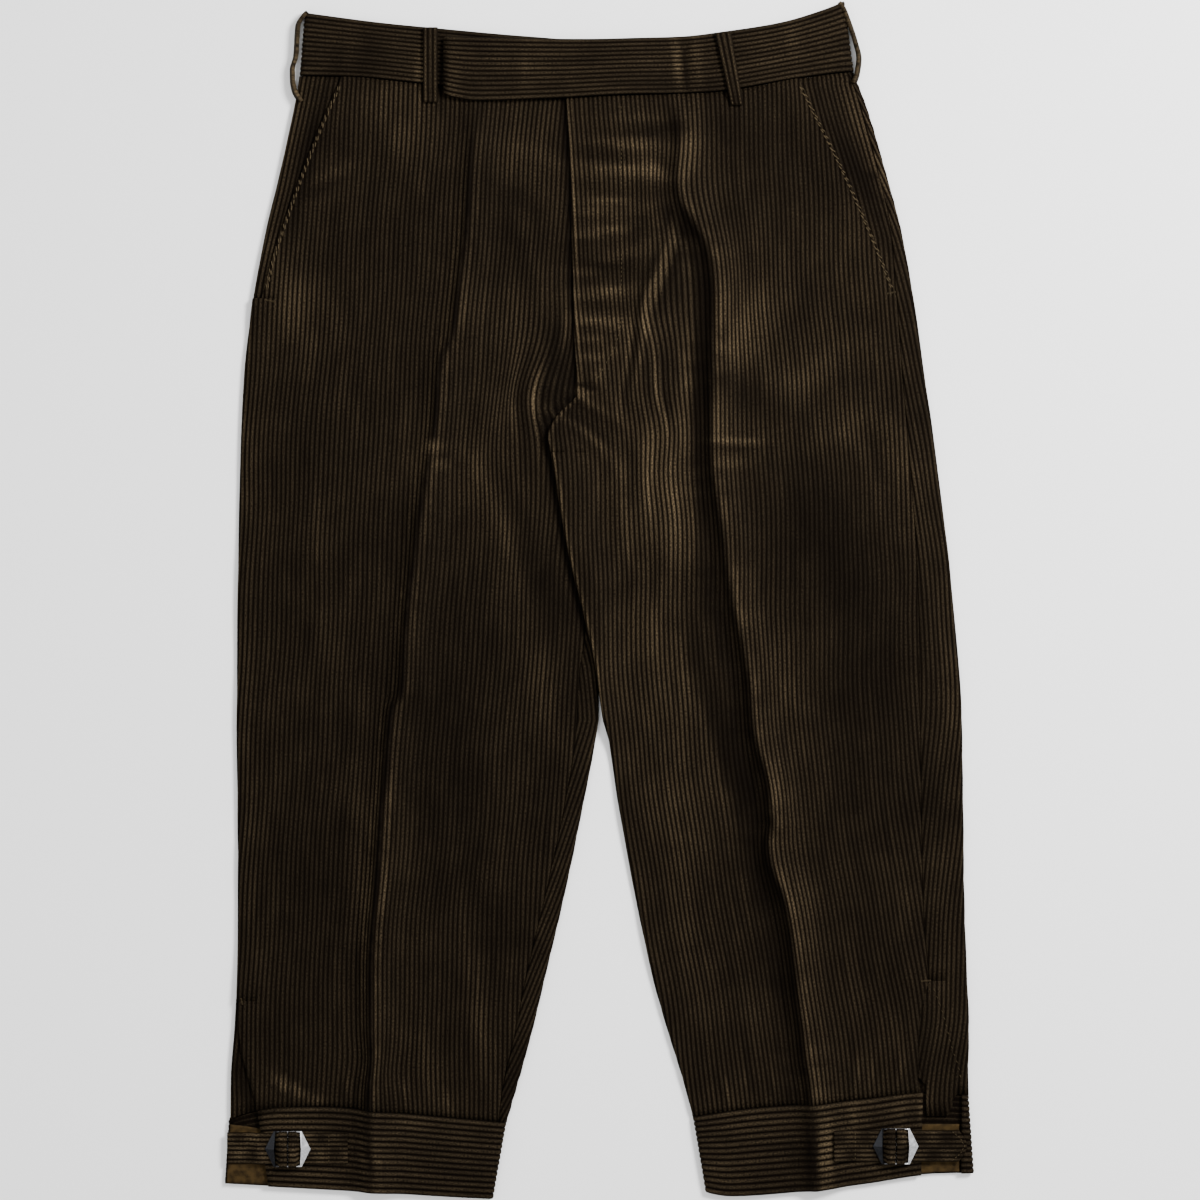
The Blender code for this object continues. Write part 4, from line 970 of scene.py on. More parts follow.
# %% [markdown]
# ## From rows of points to cloth
#
# A patch is a grid of points that lie on the outside of the cloth, with the wale number, the
# distance along the wale and the pile's brightness at each, which holds painted light and shade
# too. Columns that run past the edge of the cut end at the edge, which gives wales that are cut
# off cleanly. The patches of one piece are sewn together along their shared rows, the wales are
# raised, and Solidify gives the cloth its thickness on the inside.

# %% Cloth from patches
Patch = namedtuple("Patch", "points wale along pile first last")
TALLY = {}
SEWN_WITHIN = 0.04


def patch_faces(patch, offset):
    rows, columns = patch.wale.shape
    index = np.clip(np.arange(columns)[None, :], patch.first[:, None], patch.last[:, None])
    ids = offset + index + columns * np.arange(rows)[:, None]
    corners = np.stack([ids[:-1, :-1], ids[1:, :-1], ids[1:, 1:], ids[:-1, 1:]], -1)
    for four in corners.reshape(-1, 4).tolist():
        loop = list(dict.fromkeys(four))
        if len(loop) > 2:
            yield loop


def make_cloth(name, patches, wall, material, depth=WALE_DEPTH):
    """A piece of cloth with a wall, from patches of points on its outside."""
    corners, faces, measures = [], [], {"wale": [], "along": [], "pile": []}
    offset = 0
    for patch in patches:
        corners.append(to_frame(patch.points).reshape(-1, 3))
        faces.extend(patch_faces(patch, offset))
        for key, values in measures.items():
            values.append(getattr(patch, key).ravel())
        offset += patch.wale.size
    mesh = bpy.data.meshes.new(name)
    mesh.from_pydata(np.concatenate(corners).tolist(), [], faces)
    for key, values in measures.items():
        attribute = mesh.attributes.new(key, "FLOAT", "POINT")
        attribute.data.foreach_set("value", np.concatenate(values))
    bm = bmesh.new()
    bm.from_mesh(mesh)
    bmesh.ops.delete(bm, geom=[v for v in bm.verts if not v.link_faces], context="VERTS")
    bmesh.ops.remove_doubles(bm, verts=bm.verts, dist=SEWN_WITHIN * MM)
    bm.to_mesh(mesh)
    bm.free()
    mesh.shade_smooth()
    TALLY[name] = sum(face.area for face in mesh.polygons)
    piece = bpy.data.objects.new(name, mesh)
    bpy.context.scene.collection.objects.link(piece)
    run_tree(piece, WALE_TREE, {"Wale depth": depth * MM, "Pile": material})
    solidify = piece.modifiers.new("wall", "SOLIDIFY")
    solidify.thickness = wall * MM
    solidify.offset = -1.0
    print(name, "faces", len(piece.data.polygons), "area", round(TALLY[name], 4))
    return piece


def whole(points, wale, along, pile):
    """A patch without cut-off columns."""
    rows, columns = wale.shape
    return Patch(points, wale, along, pile, np.zeros(rows, int), np.full(rows, columns - 1))


print("a patch holds", Patch._fields)

# %% [markdown]
# ## Laying a panel
#
# A wale is a thread line of the cloth, so it keeps its distance to the next one along the
# cloth, not across the table. The panel's section is therefore walked from one guide wale in
# both directions, over the crease and round the fold, and a column of points is set down every
# fifth of a wale. On the steep side of a crease the wales then look crowded from above, as
# they do on the real garment.

# %% Guide wales, runs and folds
STEPS_PER_WALE = 5
BACK_STEPS_PER_WALE = 4
RUN_STEP = 0.8
FOLD_STEPS = 15
GUIDES = {
    "front_right": [(62, -115.0), (110, -117.5), (257, -126.6), (358, -133.4), (492, -140.8),
                    (592, -146.8), (693, -153.5), (760, -155.7), (830, -156.5)],
    "front_left": [(62, 74.5), (224, 82.7), (257, 85.7), (290, 88.7), (492, 97.6), (560, 103.0),
                   (626, 111.0), (693, 121.4), (760, 132.3), (830, 140.0)],
    "back_right": [(62, -118.0), (337, -140.0), (822, -172.0)],
    "back_left": [(62, 86.0), (337, 110.0), (822, 168.0)],
    "hip_right": [(62, -226.0), (222, -262.0)],
    "hip_left": [(62, 186.0), (222, 230.0)],
}


def run(start, end, height):
    """A run of close points from start to end."""
    x = np.linspace(float(start), float(end), max(int(abs(end - start) / RUN_STEP), 2))
    return np.stack([x, np.broadcast_to(height(x), x.shape)], 1)


def fold(edge, outward, top, low, going_down=True):
    """A half-round turn over the edge, between a height of top and one of low."""
    turn = np.linspace(0, math.pi, FOLD_STEPS)[1:-1]
    turn = turn if going_down else turn[::-1]
    half = (top - low) / 2
    x = edge - outward * FOLD_REACH + outward * FOLD_REACH * np.sin(turn)
    return np.stack([x, low + half + half * np.cos(turn)], 1)


print("guide wales:", sorted(GUIDES))

# %% [markdown]
# ## Creases on the underside
#
# The back of the garment is folded and worn as the front is, though it lies flat on the table.
# So it has troughs only, which rise from the table: a pressed crease down each leg, drag lines
# from the fork, and ripples at the seat, the back of the knee and the cuffs.

# %% Hidden creases
HIDDEN_WRINKLES = table_of(Spot, [
    (-34, 322, 66, 7, 142, 1.1), (-52, 356, 58, 6, 128, 0.8), (30, 326, 62, 7, 36, 1.0),
    (48, 362, 60, 6, 52, 0.9), (-66, 196, 56, 9, 12, 0.7), (58, 184, 48, 8, -9, 0.8),
    (-150, 508, 58, 7, -6, 1.0), (-132, 532, 44, 6, 9, 0.8), (132, 516, 62, 7, 7, 0.9),
    (120, 546, 40, 6, -12, 1.0), (-186, 792, 30, 5, 84, 0.9), (-140, 798, 26, 5, 97, 1.0),
    (176, 786, 28, 5, 94, 1.0), (206, 800, 24, 4, 80, 0.8),
])
HIDDEN_DEPTH = 1.3
BACK_CREASE = Bell(0.0, 4.0, 0.9)


def hidden_creases(side, x, down):
    """Troughs of the underside: the pressed back crease, and ripples at the seat, knee and cuff."""
    offset = x - smooth(GUIDES["back_" + side], down)
    back_crease = bells([BACK_CREASE], offset) * ramp(130, 260, down)
    return np.clip(back_crease + spots(HIDDEN_WRINKLES, x, down), 0.0, HIDDEN_DEPTH)


print("hidden wrinkles:", len(HIDDEN_WRINKLES))

# %% [markdown]
# ## From sections to a patch
#
# A section is walked at many stations down the garment, and the walks give two tables: where
# every wale lies across the garment, and how high. A row of the patch then takes each wale's
# place at its own station, so the first and last rows can bend with the waist and cuff seams.

# %% Walking the sections
TABLE_STEP = 3.0


def walk_sections(section, guide, stations):
    """The walks round the garment, each as (distance from the guide wale, points)."""
    walks = []
    for down in stations:
        lead, main, follow = section(down)
        path = np.concatenate([part for part in (lead, main, follow) if len(part)])
        walked = np.concatenate([[0], np.cumsum(np.hypot(*np.diff(path, axis=0).T))])
        main_walk = walked[len(lead):len(lead) + len(main)]
        order = np.argsort(main[:, 0])
        start = np.interp(smooth(GUIDES[guide], down), main[order, 0], main_walk[order])
        walks.append((walked - start, path))
    return walks


def look_up(table, first, stations):
    """Values of a table (stations down, columns across) at each column's own station."""
    k = np.clip((stations - first) / TABLE_STEP, 0, len(table) - 1.001)
    i = k.astype(int)
    column = np.broadcast_to(np.arange(table.shape[1]), stations.shape)
    return mix(table[i, column], table[i + 1, column], k - i)


def follow_seams(side, x, down, low):
    """Moves a nominal station so that the end rows run along the waist and cuff seams."""
    bottom = smooth(CUFF_SEAMS[side], x) if low is None else low(x)
    top_shift = smooth(WAIST_SEAM, x) + GAP / 2 - PANEL_TOP
    bottom_shift = bottom - CUFF_GAP / 2 - PANEL_BOTTOM
    top_share = fall(PANEL_TOP, END_FADE, down)
    bottom_share = ramp(PANEL_BOTTOM - END_FADE / 2, PANEL_BOTTOM, down)
    return down + top_shift * top_share + bottom_shift * bottom_share


print("a table row every", TABLE_STEP, "mm")

# %% [markdown]
# ## Laying a patch
#
# Now the wrinkles, the sunk seams, the hidden creases and the sways are added. The upper side
# takes the front's wrinkles, and the underside its own troughs. A slow waver keeps the wales
# from looking ruled.

# %% Laying a patch
FACE_FROM, FACE_OVER = 2.5, 2.0
UNDER_BELOW, UNDER_OVER = 1.0, 0.8
SEAM_STEPS = 5


def settle(side, x, down, z):
    """Heights with the wrinkles of the upper side and the troughs of the underside."""
    upper = np.clip((z - FACE_FROM) / FACE_OVER, 0, 1)
    under = np.clip((UNDER_BELOW - z) / UNDER_OVER, 0, 1)
    z = z + upper * pressed(spots(WRINKLES, x, down) - seam_dip(side, x, down))
    clear_of_band = ramp(PANEL_TOP + 4, PANEL_TOP + 40, down)
    return upper, z + under * clear_of_band * hidden_creases(side, x, down)


def waver(x, down):
    return 0.5 * np.sin(down / 17 + x / 31) + 0.4 * np.sin(down / 43 - x / 23)


def lay_patch(side, guide, rows, section, steps=STEPS_PER_WALE, low=None, marks=plain_marks):
    """A patch whose section(down) gives (lead, main, follow) runs of (x, z) round the garment."""
    stations = np.arange(rows[0] - 15, rows[-1] + 18, TABLE_STEP)
    walks = walk_sections(section, guide, stations)
    begin = np.array([walk[0] for walk, _path in walks])
    end = np.array([walk[-1] for walk, _path in walks])
    wales = np.arange(math.floor(begin.min() / WALE * steps),
                      math.ceil(end.max() / WALE * steps) + 1) / steps
    x_table = np.array([np.interp(wales * WALE, walk, path[:, 0]) for walk, path in walks])
    z_table = np.array([np.interp(wales * WALE, walk, path[:, 1]) for walk, path in walks])
    nominal = np.repeat(np.array(rows, float)[:, None], len(wales), 1)
    at = nominal.copy()
    for _ in range(SEAM_STEPS):
        at = follow_seams(side, look_up(x_table, stations[0], at), nominal, low)
    x, z = look_up(x_table, stations[0], at), look_up(z_table, stations[0], at)
    lowest, highest = (np.interp(at, stations, limit) / WALE for limit in (begin, end))
    inside = (wales > lowest) & (wales < highest)
    first = np.maximum(inside.argmax(1) - 1, 0)
    last = np.minimum(len(wales) - inside[:, ::-1].argmax(1), len(wales) - 1)
    upper, z = settle(side, x, at, z)
    # the pile's brightness, with painted light and shade on the upper side
    pile = mix(1.0, pile_and_painted_light(x, at, marks), upper)
    from_edge = WALE * np.minimum(wales - lowest, highest - wales)
    x = x + upper * ramp(3, 16, from_edge) * (spots(SWAYS, x, at) + waver(x, at))
    wale = np.clip(np.broadcast_to(wales, x.shape), lowest, highest)
    return Patch(np.stack([x, at, z], -1), wale, at / WALE, pile, first, last)


def on_table(x):
    return 0.0


def on_leg(x):
    return LEG_STACK


def stations_between(start, end, step):
    return np.linspace(start, end, max(int(round((end - start) / step)), 1) + 1)


NONE = np.zeros((0, 2))
print("stations every 10 mm below the fork:", len(stations_between(FORK, PANEL_BOTTOM, 10.0)))

# %% [markdown]
# ## The right front
#
# The right front runs from the slanted pocket mouth, and below the pocket from under the side
# fold, across the thigh to the fly extension and the inside seam. Its last part is a free edge
# where the leg opens above the cuff. It is laid in three patches, because the cut's outer edge
# jumps at the pocket's end and at the vent.

# %% Right front
HIP_STEP = 4.5
VENT_STEP = 5.0
RIGHT_STEP = 6.9
TAIL_SHORTENS = 690.0


def side_tail(down):
    return mix(SIDE_TAIL, FOLD_REACH + 0.6, ramp(TAIL_SHORTENS, RIGHT_VENT - 2, down))


def right_front_inner(down):
    below = line(INSIDES, "right_inseam", down) - GAP
    return np.where(down <= FORK, line(FRONT_EDGES, "right_edge", down), below)


def right_front_section(folded):
    def section(down):
        def top(x):
            return front_height("right", x, down)

        edge = outer("right", down)
        start = edge + FOLD_REACH if folded else front_outer("right", down)
        lead = NONE
        if folded:
            tail = run(edge + side_tail(down), edge + FOLD_REACH, on_table)[:-1]
            lead = np.concatenate([tail, fold(edge, -1, top(edge + FOLD_REACH), 0.0, False)])
        return lead, run(start, right_front_inner(down), top), NONE
    return section


def hip_rows(down):
    return stations_between(PANEL_TOP, down, HIP_STEP)


right_front_patches = [
    lay_patch("right", "front_right", hip_rows(POCKET_END), right_front_section(False),
              marks=right_painted_light),
    lay_patch("right", "front_right", stations_between(POCKET_END, RIGHT_VENT, RIGHT_STEP),
              right_front_section(True), marks=right_painted_light),
    lay_patch("right", "front_right", stations_between(RIGHT_VENT, PANEL_BOTTOM, VENT_STEP),
              right_front_section(False), marks=right_painted_light),
]
front_right = make_cloth("right_front_panel", right_front_patches, CLOTH, CORDUROY)

# %% [markdown]
# ## The left front
#
# The left front carries the fly and laps over the right one. Below the fork it turns round the
# leg's inner fold and ends underneath. It also rises over the right leg's inner fold, where the
# two legs overlap.

# %% Left front
LEFT_STEP = 7.4
FORK_STEP = 3.0
UNDER_LAP_START = 325


def left_front_section(folded):
    def section(down):
        def top(x):
            return front_height("left", x, down)

        def under(x):
            return leg_lap(x, down, UNDER_LAP_START)

        if not folded:
            start = line(FRONT_EDGES, "left_edge", down)
            return NONE, run(start, front_outer("left", down), top), NONE
        edge = inner("left", down)
        tail = run(edge + INSEAM_TAIL, edge + FOLD_REACH, under)[:-1]
        turn = fold(edge, -1, top(edge + FOLD_REACH), under(edge + FOLD_REACH), False)
        main = run(edge + FOLD_REACH, front_outer("left", down), top)
        return np.concatenate([tail, turn]), main, NONE
    return section


fork_rows = np.concatenate([hip_rows(284.0), stations_between(284.0, FORK, FORK_STEP)[1:]])
left_front_patches = [
    lay_patch("left", "front_left", fork_rows, left_front_section(False), marks=left_painted_light),
    lay_patch("left", "front_left", stations_between(FORK, LEFT_VENT, LEFT_STEP),
              left_front_section(True), marks=left_painted_light),
    lay_patch("left", "front_left", stations_between(LEFT_VENT, PANEL_BOTTOM, VENT_STEP),
              left_front_section(True), marks=left_painted_light),
]
front_left = make_cloth("left_front_panel", left_front_patches, CLOTH, CORDUROY)

# %% [markdown]
# ## The backs
#
# The backs are the larger pieces of the pair. Most of each one lies against the table, and only
# a strip comes round the fold to the front: at the inside of the right leg and the outside of
# the left leg. At the vents a narrow underlap shows behind the front's free edge. Their wales
# are drawn with fewer points because they are seen less.

# %% Backs
def right_back_section(below_fork, below_vent):
    def section(down):
        edge, side = inner("right", down), outer("right", down)
        start = edge - FOLD_REACH if below_fork else smooth(CENTRE_BACK, down) - GAP / 2
        end = side + FOLD_REACH if below_vent else side + side_tail(down) + GAP
        lead, follow = NONE, NONE
        if below_fork:
            strip = run(line(INSIDES, "right_inseam", down), start, on_leg)[:-1]
            lead = np.concatenate([strip, fold(edge, 1, LEG_STACK, 0.0)])
        if below_vent:
            lap_end = front_outer("right", down) + RIGHT_UNDERLAP
            follow = np.concatenate([fold(side, -1, LEG_STACK, 0.0, False),
                                     run(side + FOLD_REACH, lap_end, on_leg)])
        return lead, run(start, end, on_table), follow
    return section


def left_back_section(below_fork, below_vent):
    def section(down):
        def under(x):
            return leg_lap(x, down, UNDER_LAP_START)

        side = outer("left", down)
        start = line(VENTS, "underlap_end", down) if below_vent else left_outseam(down)
        strip = run(start, side - FOLD_REACH, on_leg)[:-1]
        end = smooth(CENTRE_BACK, down) + GAP / 2
        if below_fork:
            end = inner("left", down) + INSEAM_TAIL + GAP
        lead = np.concatenate([strip, fold(side, 1, LEG_STACK, 0.0)])
        return lead, run(side - FOLD_REACH, end, under), NONE
    return section


BACK_STEP = 10.0


def lay_back(side, section_maker, vent, low=None):
    """The three patches of a back: above the fork, down to the vent and below it."""
    Span = namedtuple("Span", "start end below_fork below_vent")
    spans = table_of(Span, [(PANEL_TOP, FORK, False, False), (FORK, vent, True, False),
                            (vent, PANEL_BOTTOM, True, True)])
    return [lay_patch(side, "back_" + side, stations_between(span.start, span.end, BACK_STEP),
                      section_maker(span.below_fork, span.below_vent), BACK_STEPS_PER_WALE,
                      low if span.below_vent else None)
            for span in spans]


def left_low(x):
    """The left underlap hangs a little below the cuff seam."""
    seam = smooth(CUFF_SEAMS["left"], x)
    return mix(LEFT_UNDERLAP_LOW, seam, ramp(258.0, 266.0, x))


back_right = make_cloth("right_back_panel", lay_back("right", right_back_section, RIGHT_VENT),
                        CLOTH, CORDUROY)
back_left = make_cloth("left_back_panel",
                       lay_back("left", left_back_section, LEFT_VENT, left_low), CLOTH, CORDUROY)

# %% [markdown]
# ## Hip facings
#
# Outside each slanted pocket mouth the hip shows a facing cut from the same corduroy. On the
# right it turns under at the side fold, and on the left it ends at the outside seam.

# %% Hip facings
def right_hip_section(down):
    edge = outer("right", down)
    tail = run(edge + SIDE_TAIL, edge + FOLD_REACH, on_table)[:-1]
    lead = np.concatenate([tail, fold(edge, -1, LEG_STACK, 0.0, False)])
    end = line(POCKETS, "right_mouth", down) + POCKET_LAP
    return lead, run(edge + FOLD_REACH, end, on_leg), NONE


def left_hip_section(down):
    start = line(POCKETS, "left_mouth", down) - POCKET_LAP
    return NONE, run(start, left_outseam(down) - GAP, on_leg), NONE


HIP_END = 222.0
hip_right = make_cloth("right_hip_facing",
                       [lay_patch("right", "hip_right", hip_rows(HIP_END), right_hip_section)],
                       CLOTH, CORDUROY)
hip_left = make_cloth("left_hip_facing",
                      [lay_patch("left", "hip_left", hip_rows(HIP_END), left_hip_section)],
                      CLOTH, CORDUROY)

# %% [markdown]
# ## Waistband and cuffs
#
# The waistband, its tab and the knee cuffs are cut across the cloth, so their wales run round
# the body. Each is a strip with a fixed number of wales between its two edges. A strip is
# padded by its inner layers, so its face is crowned and its edges roll over.

# %% Strips
STRIP_COLUMN = 5.0
STRIP_FOLD_STEPS = 11
STRIP_FACE_FROM = 3.0
CROWN = 1.1


def strip_run(start, end, height):
    count = max(int(round(abs(end - start) / STRIP_COLUMN)), 2)
    x = np.linspace(start, end, count + 1)
    return np.stack([x, np.broadcast_to(height(x), x.shape)], 1)


def strip_fold(edge, outward, top, reach, going_down):
    turn = np.linspace(0, math.pi, STRIP_FOLD_STEPS)[1:-1]
    turn = turn if going_down else turn[::-1]
    x = edge - outward * reach + outward * reach * np.sin(turn)
    return np.stack([x, top / 2 + top / 2 * np.cos(turn)], 1)


def lay_strip(path, line_top, line_low, wales, marks=plain_marks):
    """path(t) gives (x, z) at height share t; the lines give the strip's two edges."""
    shares = np.arange(wales * STEPS_PER_WALE + 1) / (wales * STEPS_PER_WALE)
    columns = np.linspace(0, 1, len(path(0.5)))
    rows = []
    for share in shares:
        walk = path(share)
        at = np.linspace(0, 1, len(walk))
        rows.append([np.interp(columns, at, walk[:, axis]) for axis in (0, 1)])
    x, z = np.moveaxis(np.array(rows), 1, 0)
    t = shares[:, None]
    down = mix(line_top(x), line_low(x), t)
    upper = np.clip((z - STRIP_FACE_FROM) / FACE_OVER, 0, 1)
    roll = CROWN * np.abs(2 * t - 1) ** 5
    z = z + upper * pressed(spots(WRINKLES, x, down) - roll)
    wale = np.broadcast_to(t * wales, x.shape)
    along = x / WALE + 0 * t
    # the pile's brightness, with painted light and shade on the face
    pile = mix(1.0, pile_and_painted_light(x, down, marks), upper)
    return whole(np.stack([x, down, z], -1), wale, along, pile)


print("a strip's face rolls down by", CROWN, "mm at its edges")

# %% [markdown]
# ## The waistband
#
# The band is in two halves, sewn at the centre back. The left half ends in a tab that laps far
# over the right half and hides it up to the tab's end, so the left half is raised there by one
# thickness of band. The tab is a little deeper than the band, so only its face takes the tab's
# edges, and the part behind the fold keeps the band's.

# %% Waistband
TAB_END = -116.6
RIGHT_BAND_END = 18.0
TAB_LINE_END = -30.0
TAB_TOP = [(-117, 27.0), (-52, 28.6), (-25, 29.1)]
TAB_LOW = [(-117, 70.5), (-108, 73.0), (-93, 75.2), (-36, 73.4), (13, 71.0)]
BAND_SIDE_TOP = (-220.5, 182.5)
BAND_SIDE_LOW = (-224.2, 189.4)
BAND_WALES = 13
TAB_CORNER = 2.5
CORNER_SHARE = 0.06


def left_band_height(x):
    lift = BAND_WALL + GAP
    return BAND_STACK + lift * fall(RIGHT_BAND_END + 3, 37, x)


def right_band_path(t):
    side = mix(BAND_SIDE_TOP[0], BAND_SIDE_LOW[0], t)
    return np.concatenate([
        strip_run(CENTRE_BACK[0][1] - GAP / 2, side + BAND_FOLD, on_table)[:-1],
        strip_fold(side, -1, BAND_STACK, BAND_FOLD, False),
        strip_run(side + BAND_FOLD, RIGHT_BAND_END, lambda x: BAND_STACK)])


def left_band_path(t):
    side = mix(BAND_SIDE_TOP[1], BAND_SIDE_LOW[1], t)
    corner = TAB_CORNER * max(1 - min(t, 1 - t) / CORNER_SHARE, 0.0) ** 2
    return np.concatenate([
        strip_run(TAB_END + corner, side - BAND_FOLD, left_band_height)[:-1],
        strip_fold(side, 1, BAND_STACK, BAND_FOLD, True),
        strip_run(side - BAND_FOLD, CENTRE_BACK[0][1] + GAP / 2, on_table)])


def band_top(x):
    return smooth(WAIST_TOP, x)


def band_low(x):
    return smooth(WAIST_SEAM, x) - GAP / 2


def tab_line(tab, band):
    """The band's edge, which runs into the tab's own edge past the fly."""
    return lambda x: mix(smooth(tab, x), band(x), ramp(TAB_LINE_END, RIGHT_BAND_END, x))


band_right = make_cloth("right_waistband",
                        [lay_strip(right_band_path, band_top, band_low, BAND_WALES)],
                        BAND_WALL, CORDUROY)
left_strip = lay_strip(left_band_path, tab_line(TAB_TOP, band_top), tab_line(TAB_LOW, band_low),
                       BAND_WALES)
strip_x, strip_down, strip_z = np.moveaxis(left_strip.points, -1, 0)
behind = mix(band_top(strip_x), band_low(strip_x), left_strip.wale / BAND_WALES)
left_strip.points[..., 1] = np.where(strip_z < BAND_STACK / 2, behind, strip_down)
band_left = make_cloth("left_waistband", [left_strip], BAND_WALL, CORDUROY)

# %% [markdown]
# ## The knee cuffs
#
# Each cuff is one strip round the leg. On the right leg its front end stops short of its back
# end, and on the left leg the front end laps towards the side, so the vent stays open above
# the strap. The pressed crease runs on through the cuff.

# %% Knee cuffs
CUFF_WALES = 14
CUFF_TONE = 0.25
CUFF_CREASE = 0.7
RIGHT_CUFF_FRONT_END = (-255.5, -247.3)
RIGHT_CUFF_BACK_END = (-276.8, -280.0)
RIGHT_CUFF_INNER = (-69.6, -79.6)
LEFT_CUFF_FRONT_END = (240.6, 239.4)
LEFT_CUFF_BACK_END = (269.8, 269.4)
LEFT_CUFF_OUTER = (275.2, 279.2)
LEFT_CUFF_INNER = (69.0, 78.6)


def cuff_height(side, t):
    down = mix(PANEL_BOTTOM, LENGTH, t)
    return lambda x: CUFF_STACK + crease(side, x, down)


def right_cuff_path(t):
    edge = mix(*RIGHT_CUFF_INNER, t)
    return np.concatenate([
        strip_run(mix(*RIGHT_CUFF_FRONT_END, t), edge - CUFF_FOLD, cuff_height("right", t))[:-1],
        strip_fold(edge, 1, CUFF_STACK, CUFF_FOLD, True),
        strip_run(edge - CUFF_FOLD, mix(*RIGHT_CUFF_BACK_END, t), on_table)])


def left_cuff_path(t):
    edge, side = mix(*LEFT_CUFF_INNER, t), mix(*LEFT_CUFF_OUTER, t)
    return np.concatenate([
        strip_run(mix(*LEFT_CUFF_BACK_END, t), side - CUFF_FOLD, lambda x: CUFF_STACK)[:-1],
        strip_fold(side, 1, CUFF_STACK, CUFF_FOLD, True),
        strip_run(side - CUFF_FOLD, edge + CUFF_FOLD, on_table),
        strip_fold(edge, -1, CUFF_STACK, CUFF_FOLD, False),
        strip_run(edge + CUFF_FOLD, mix(*LEFT_CUFF_FRONT_END, t), cuff_height("left", t))])


def make_cuff(side, path):
    """A cuff, tucked under the front's seam, with a fainter painted light and shade of the crease running on."""
    def top(x):
        return smooth(CUFF_SEAMS[side], x) - CUFF_TUCK

    def hem(x):
        return smooth(HEMS[side], x)

    def marks(x, down):
        return CUFF_TONE + CUFF_CREASE * painted_crease_light(side, x, down)

    return make_cloth(side + "_knee_cuff", [lay_strip(path, top, hem, CUFF_WALES, marks)],
                      CUFF_WALL, CORDUROY)


cuff_right = make_cuff("right", right_cuff_path)
cuff_left = make_cuff("left", left_cuff_path)

# %% [markdown]
# ## Facings inside the cuffs
#
# Where the vent is open, the inside of the back half of the cuff shows a thin tan facing. It is
# a small flat piece with a faintly uneven surface.

# %% Cuff facings
FACING_GRID = 24
FACING_UNEVEN = 0.12
FACING_EDGES = {
    "right": [[(-276.0, 838.2), (-259.0, 840.5), (-243.0, 844.5)],
              [(-278.6, 881.8), (-259.0, 882.8), (-243.0, 883.6)]],
    "left": [[(235.0, 838.0), (251.0, 838.0), (268.0, 838.0)],
             [(235.0, 875.6), (251.0, 873.8), (268.0, 873.4)]],
}


def make_facing_piece(side):
    high, low = FACING_EDGES[side]
    x = np.linspace(high[0][0], high[-1][0], FACING_GRID)
    t = np.linspace(0, 1, FACING_GRID)[:, None]
    down = mix(smooth(high, x), smooth(low, x), t)
    across = mix(x, np.linspace(low[0][0], low[-1][0], FACING_GRID), t)
    uneven = FACING_UNEVEN * np.sin(across * 0.9) * np.sin(down * 0.7)
    height = CUFF_WALL + GAP + FACING_WALL + uneven
    flat = np.full(across.shape, 0.5)
    points = np.stack([across, down, height], -1)
    return make_cloth(side + "_cuff_facing", [whole(points, flat, down, 2 * flat)], FACING_WALL,
                      FACING, 0.0)


facing_right, facing_left = make_facing_piece("right"), make_facing_piece("left")

# %% [markdown]
# ## Belt loops
#
# The front loops lie on the band and arch a little, because they are cut longer than the band
# is high. The side loops go round the side folds, so from above only their edge shows, bowed
# away from the band, and they lean outwards a little. All are narrow strips of the same cloth.

# %% Belt loops
LoopPlace = namedtuple("LoopPlace", "top_x top_down low_x low_down top_width low_width seam")
FRONT_LOOPS = {
    "right": LoopPlace(-126.3, 20.6, -126.3, 76.0, 11.2, 11.2, 62.6),
    "left": LoopPlace(91.6, 24.6, 102.0, 78.2, 12.7, 9.7, 67.0),
}
LOOP_ARCH = [(0.0, 0.0), (0.12, 0.6), (0.4, 1.0), (0.66, 0.4)]
SIDE_LOOPS = {
    "right": [(8, -221.5), (12, -225.0), (18, -228.0), (41, -229.6), (51, -232.2), (60, -232.0),
              (68, -230.4), (76, -225.6)],
    "left": [(1, 181.8), (5, 184.2), (14, 187.7), (30, 193.0), (43, 195.9), (54, 194.6),
             (62, 192.0)],
}
SIDE_LOOP_LEAN = 2.2
SIDE_LOOP_WIDTH = 8.0
SIDE_LOOP_WALL = 2.8
SIDE_LOOP_PILE = 2.2
LOOP_ROWS = 30
LOOP_COLUMNS = 16
LOOP_DEPTH = 0.4


def front_loop(side):
    loop = FRONT_LOOPS[side]
    on_band, on_front = BAND_STACK + GAP + LOOP_WALL, LEG_STACK + GAP + LOOP_WALL
    profile = [(mix(loop.top_down, loop.low_down, share), on_band + rise)
               for share, rise in LOOP_ARCH]
    profile += [(loop.seam + 2.5, on_band), (loop.seam + 8.0, on_front + 0.3),
                (loop.low_down, on_front)]
    t = np.linspace(0, 1, LOOP_ROWS)[:, None]
    down = mix(loop.top_down, loop.low_down, t)
    middle, half = mix(loop.top_x, loop.low_x, t), mix(loop.top_width, loop.low_width, t) / 2
    u = np.linspace(-1, 1, LOOP_COLUMNS)[None, :]
    x = middle + u * half
    z = smooth(profile, down) - 0.7 * np.abs(u) ** 6
    wale = np.broadcast_to((u + 1) * 1.5, x.shape)
    points = np.stack([x, down + 0 * u, z], -1)
    # the pile's patches, painted shade and highlights among them
    pile = np.exp(spots(PILE_AND_PAINTED_LIGHT_PATCHES, x, down))
    return make_cloth(side + "_front_loop", [whole(points, wale, points[..., 1] / WALE, pile)],
                      LOOP_WALL, CORDUROY, LOOP_DEPTH)


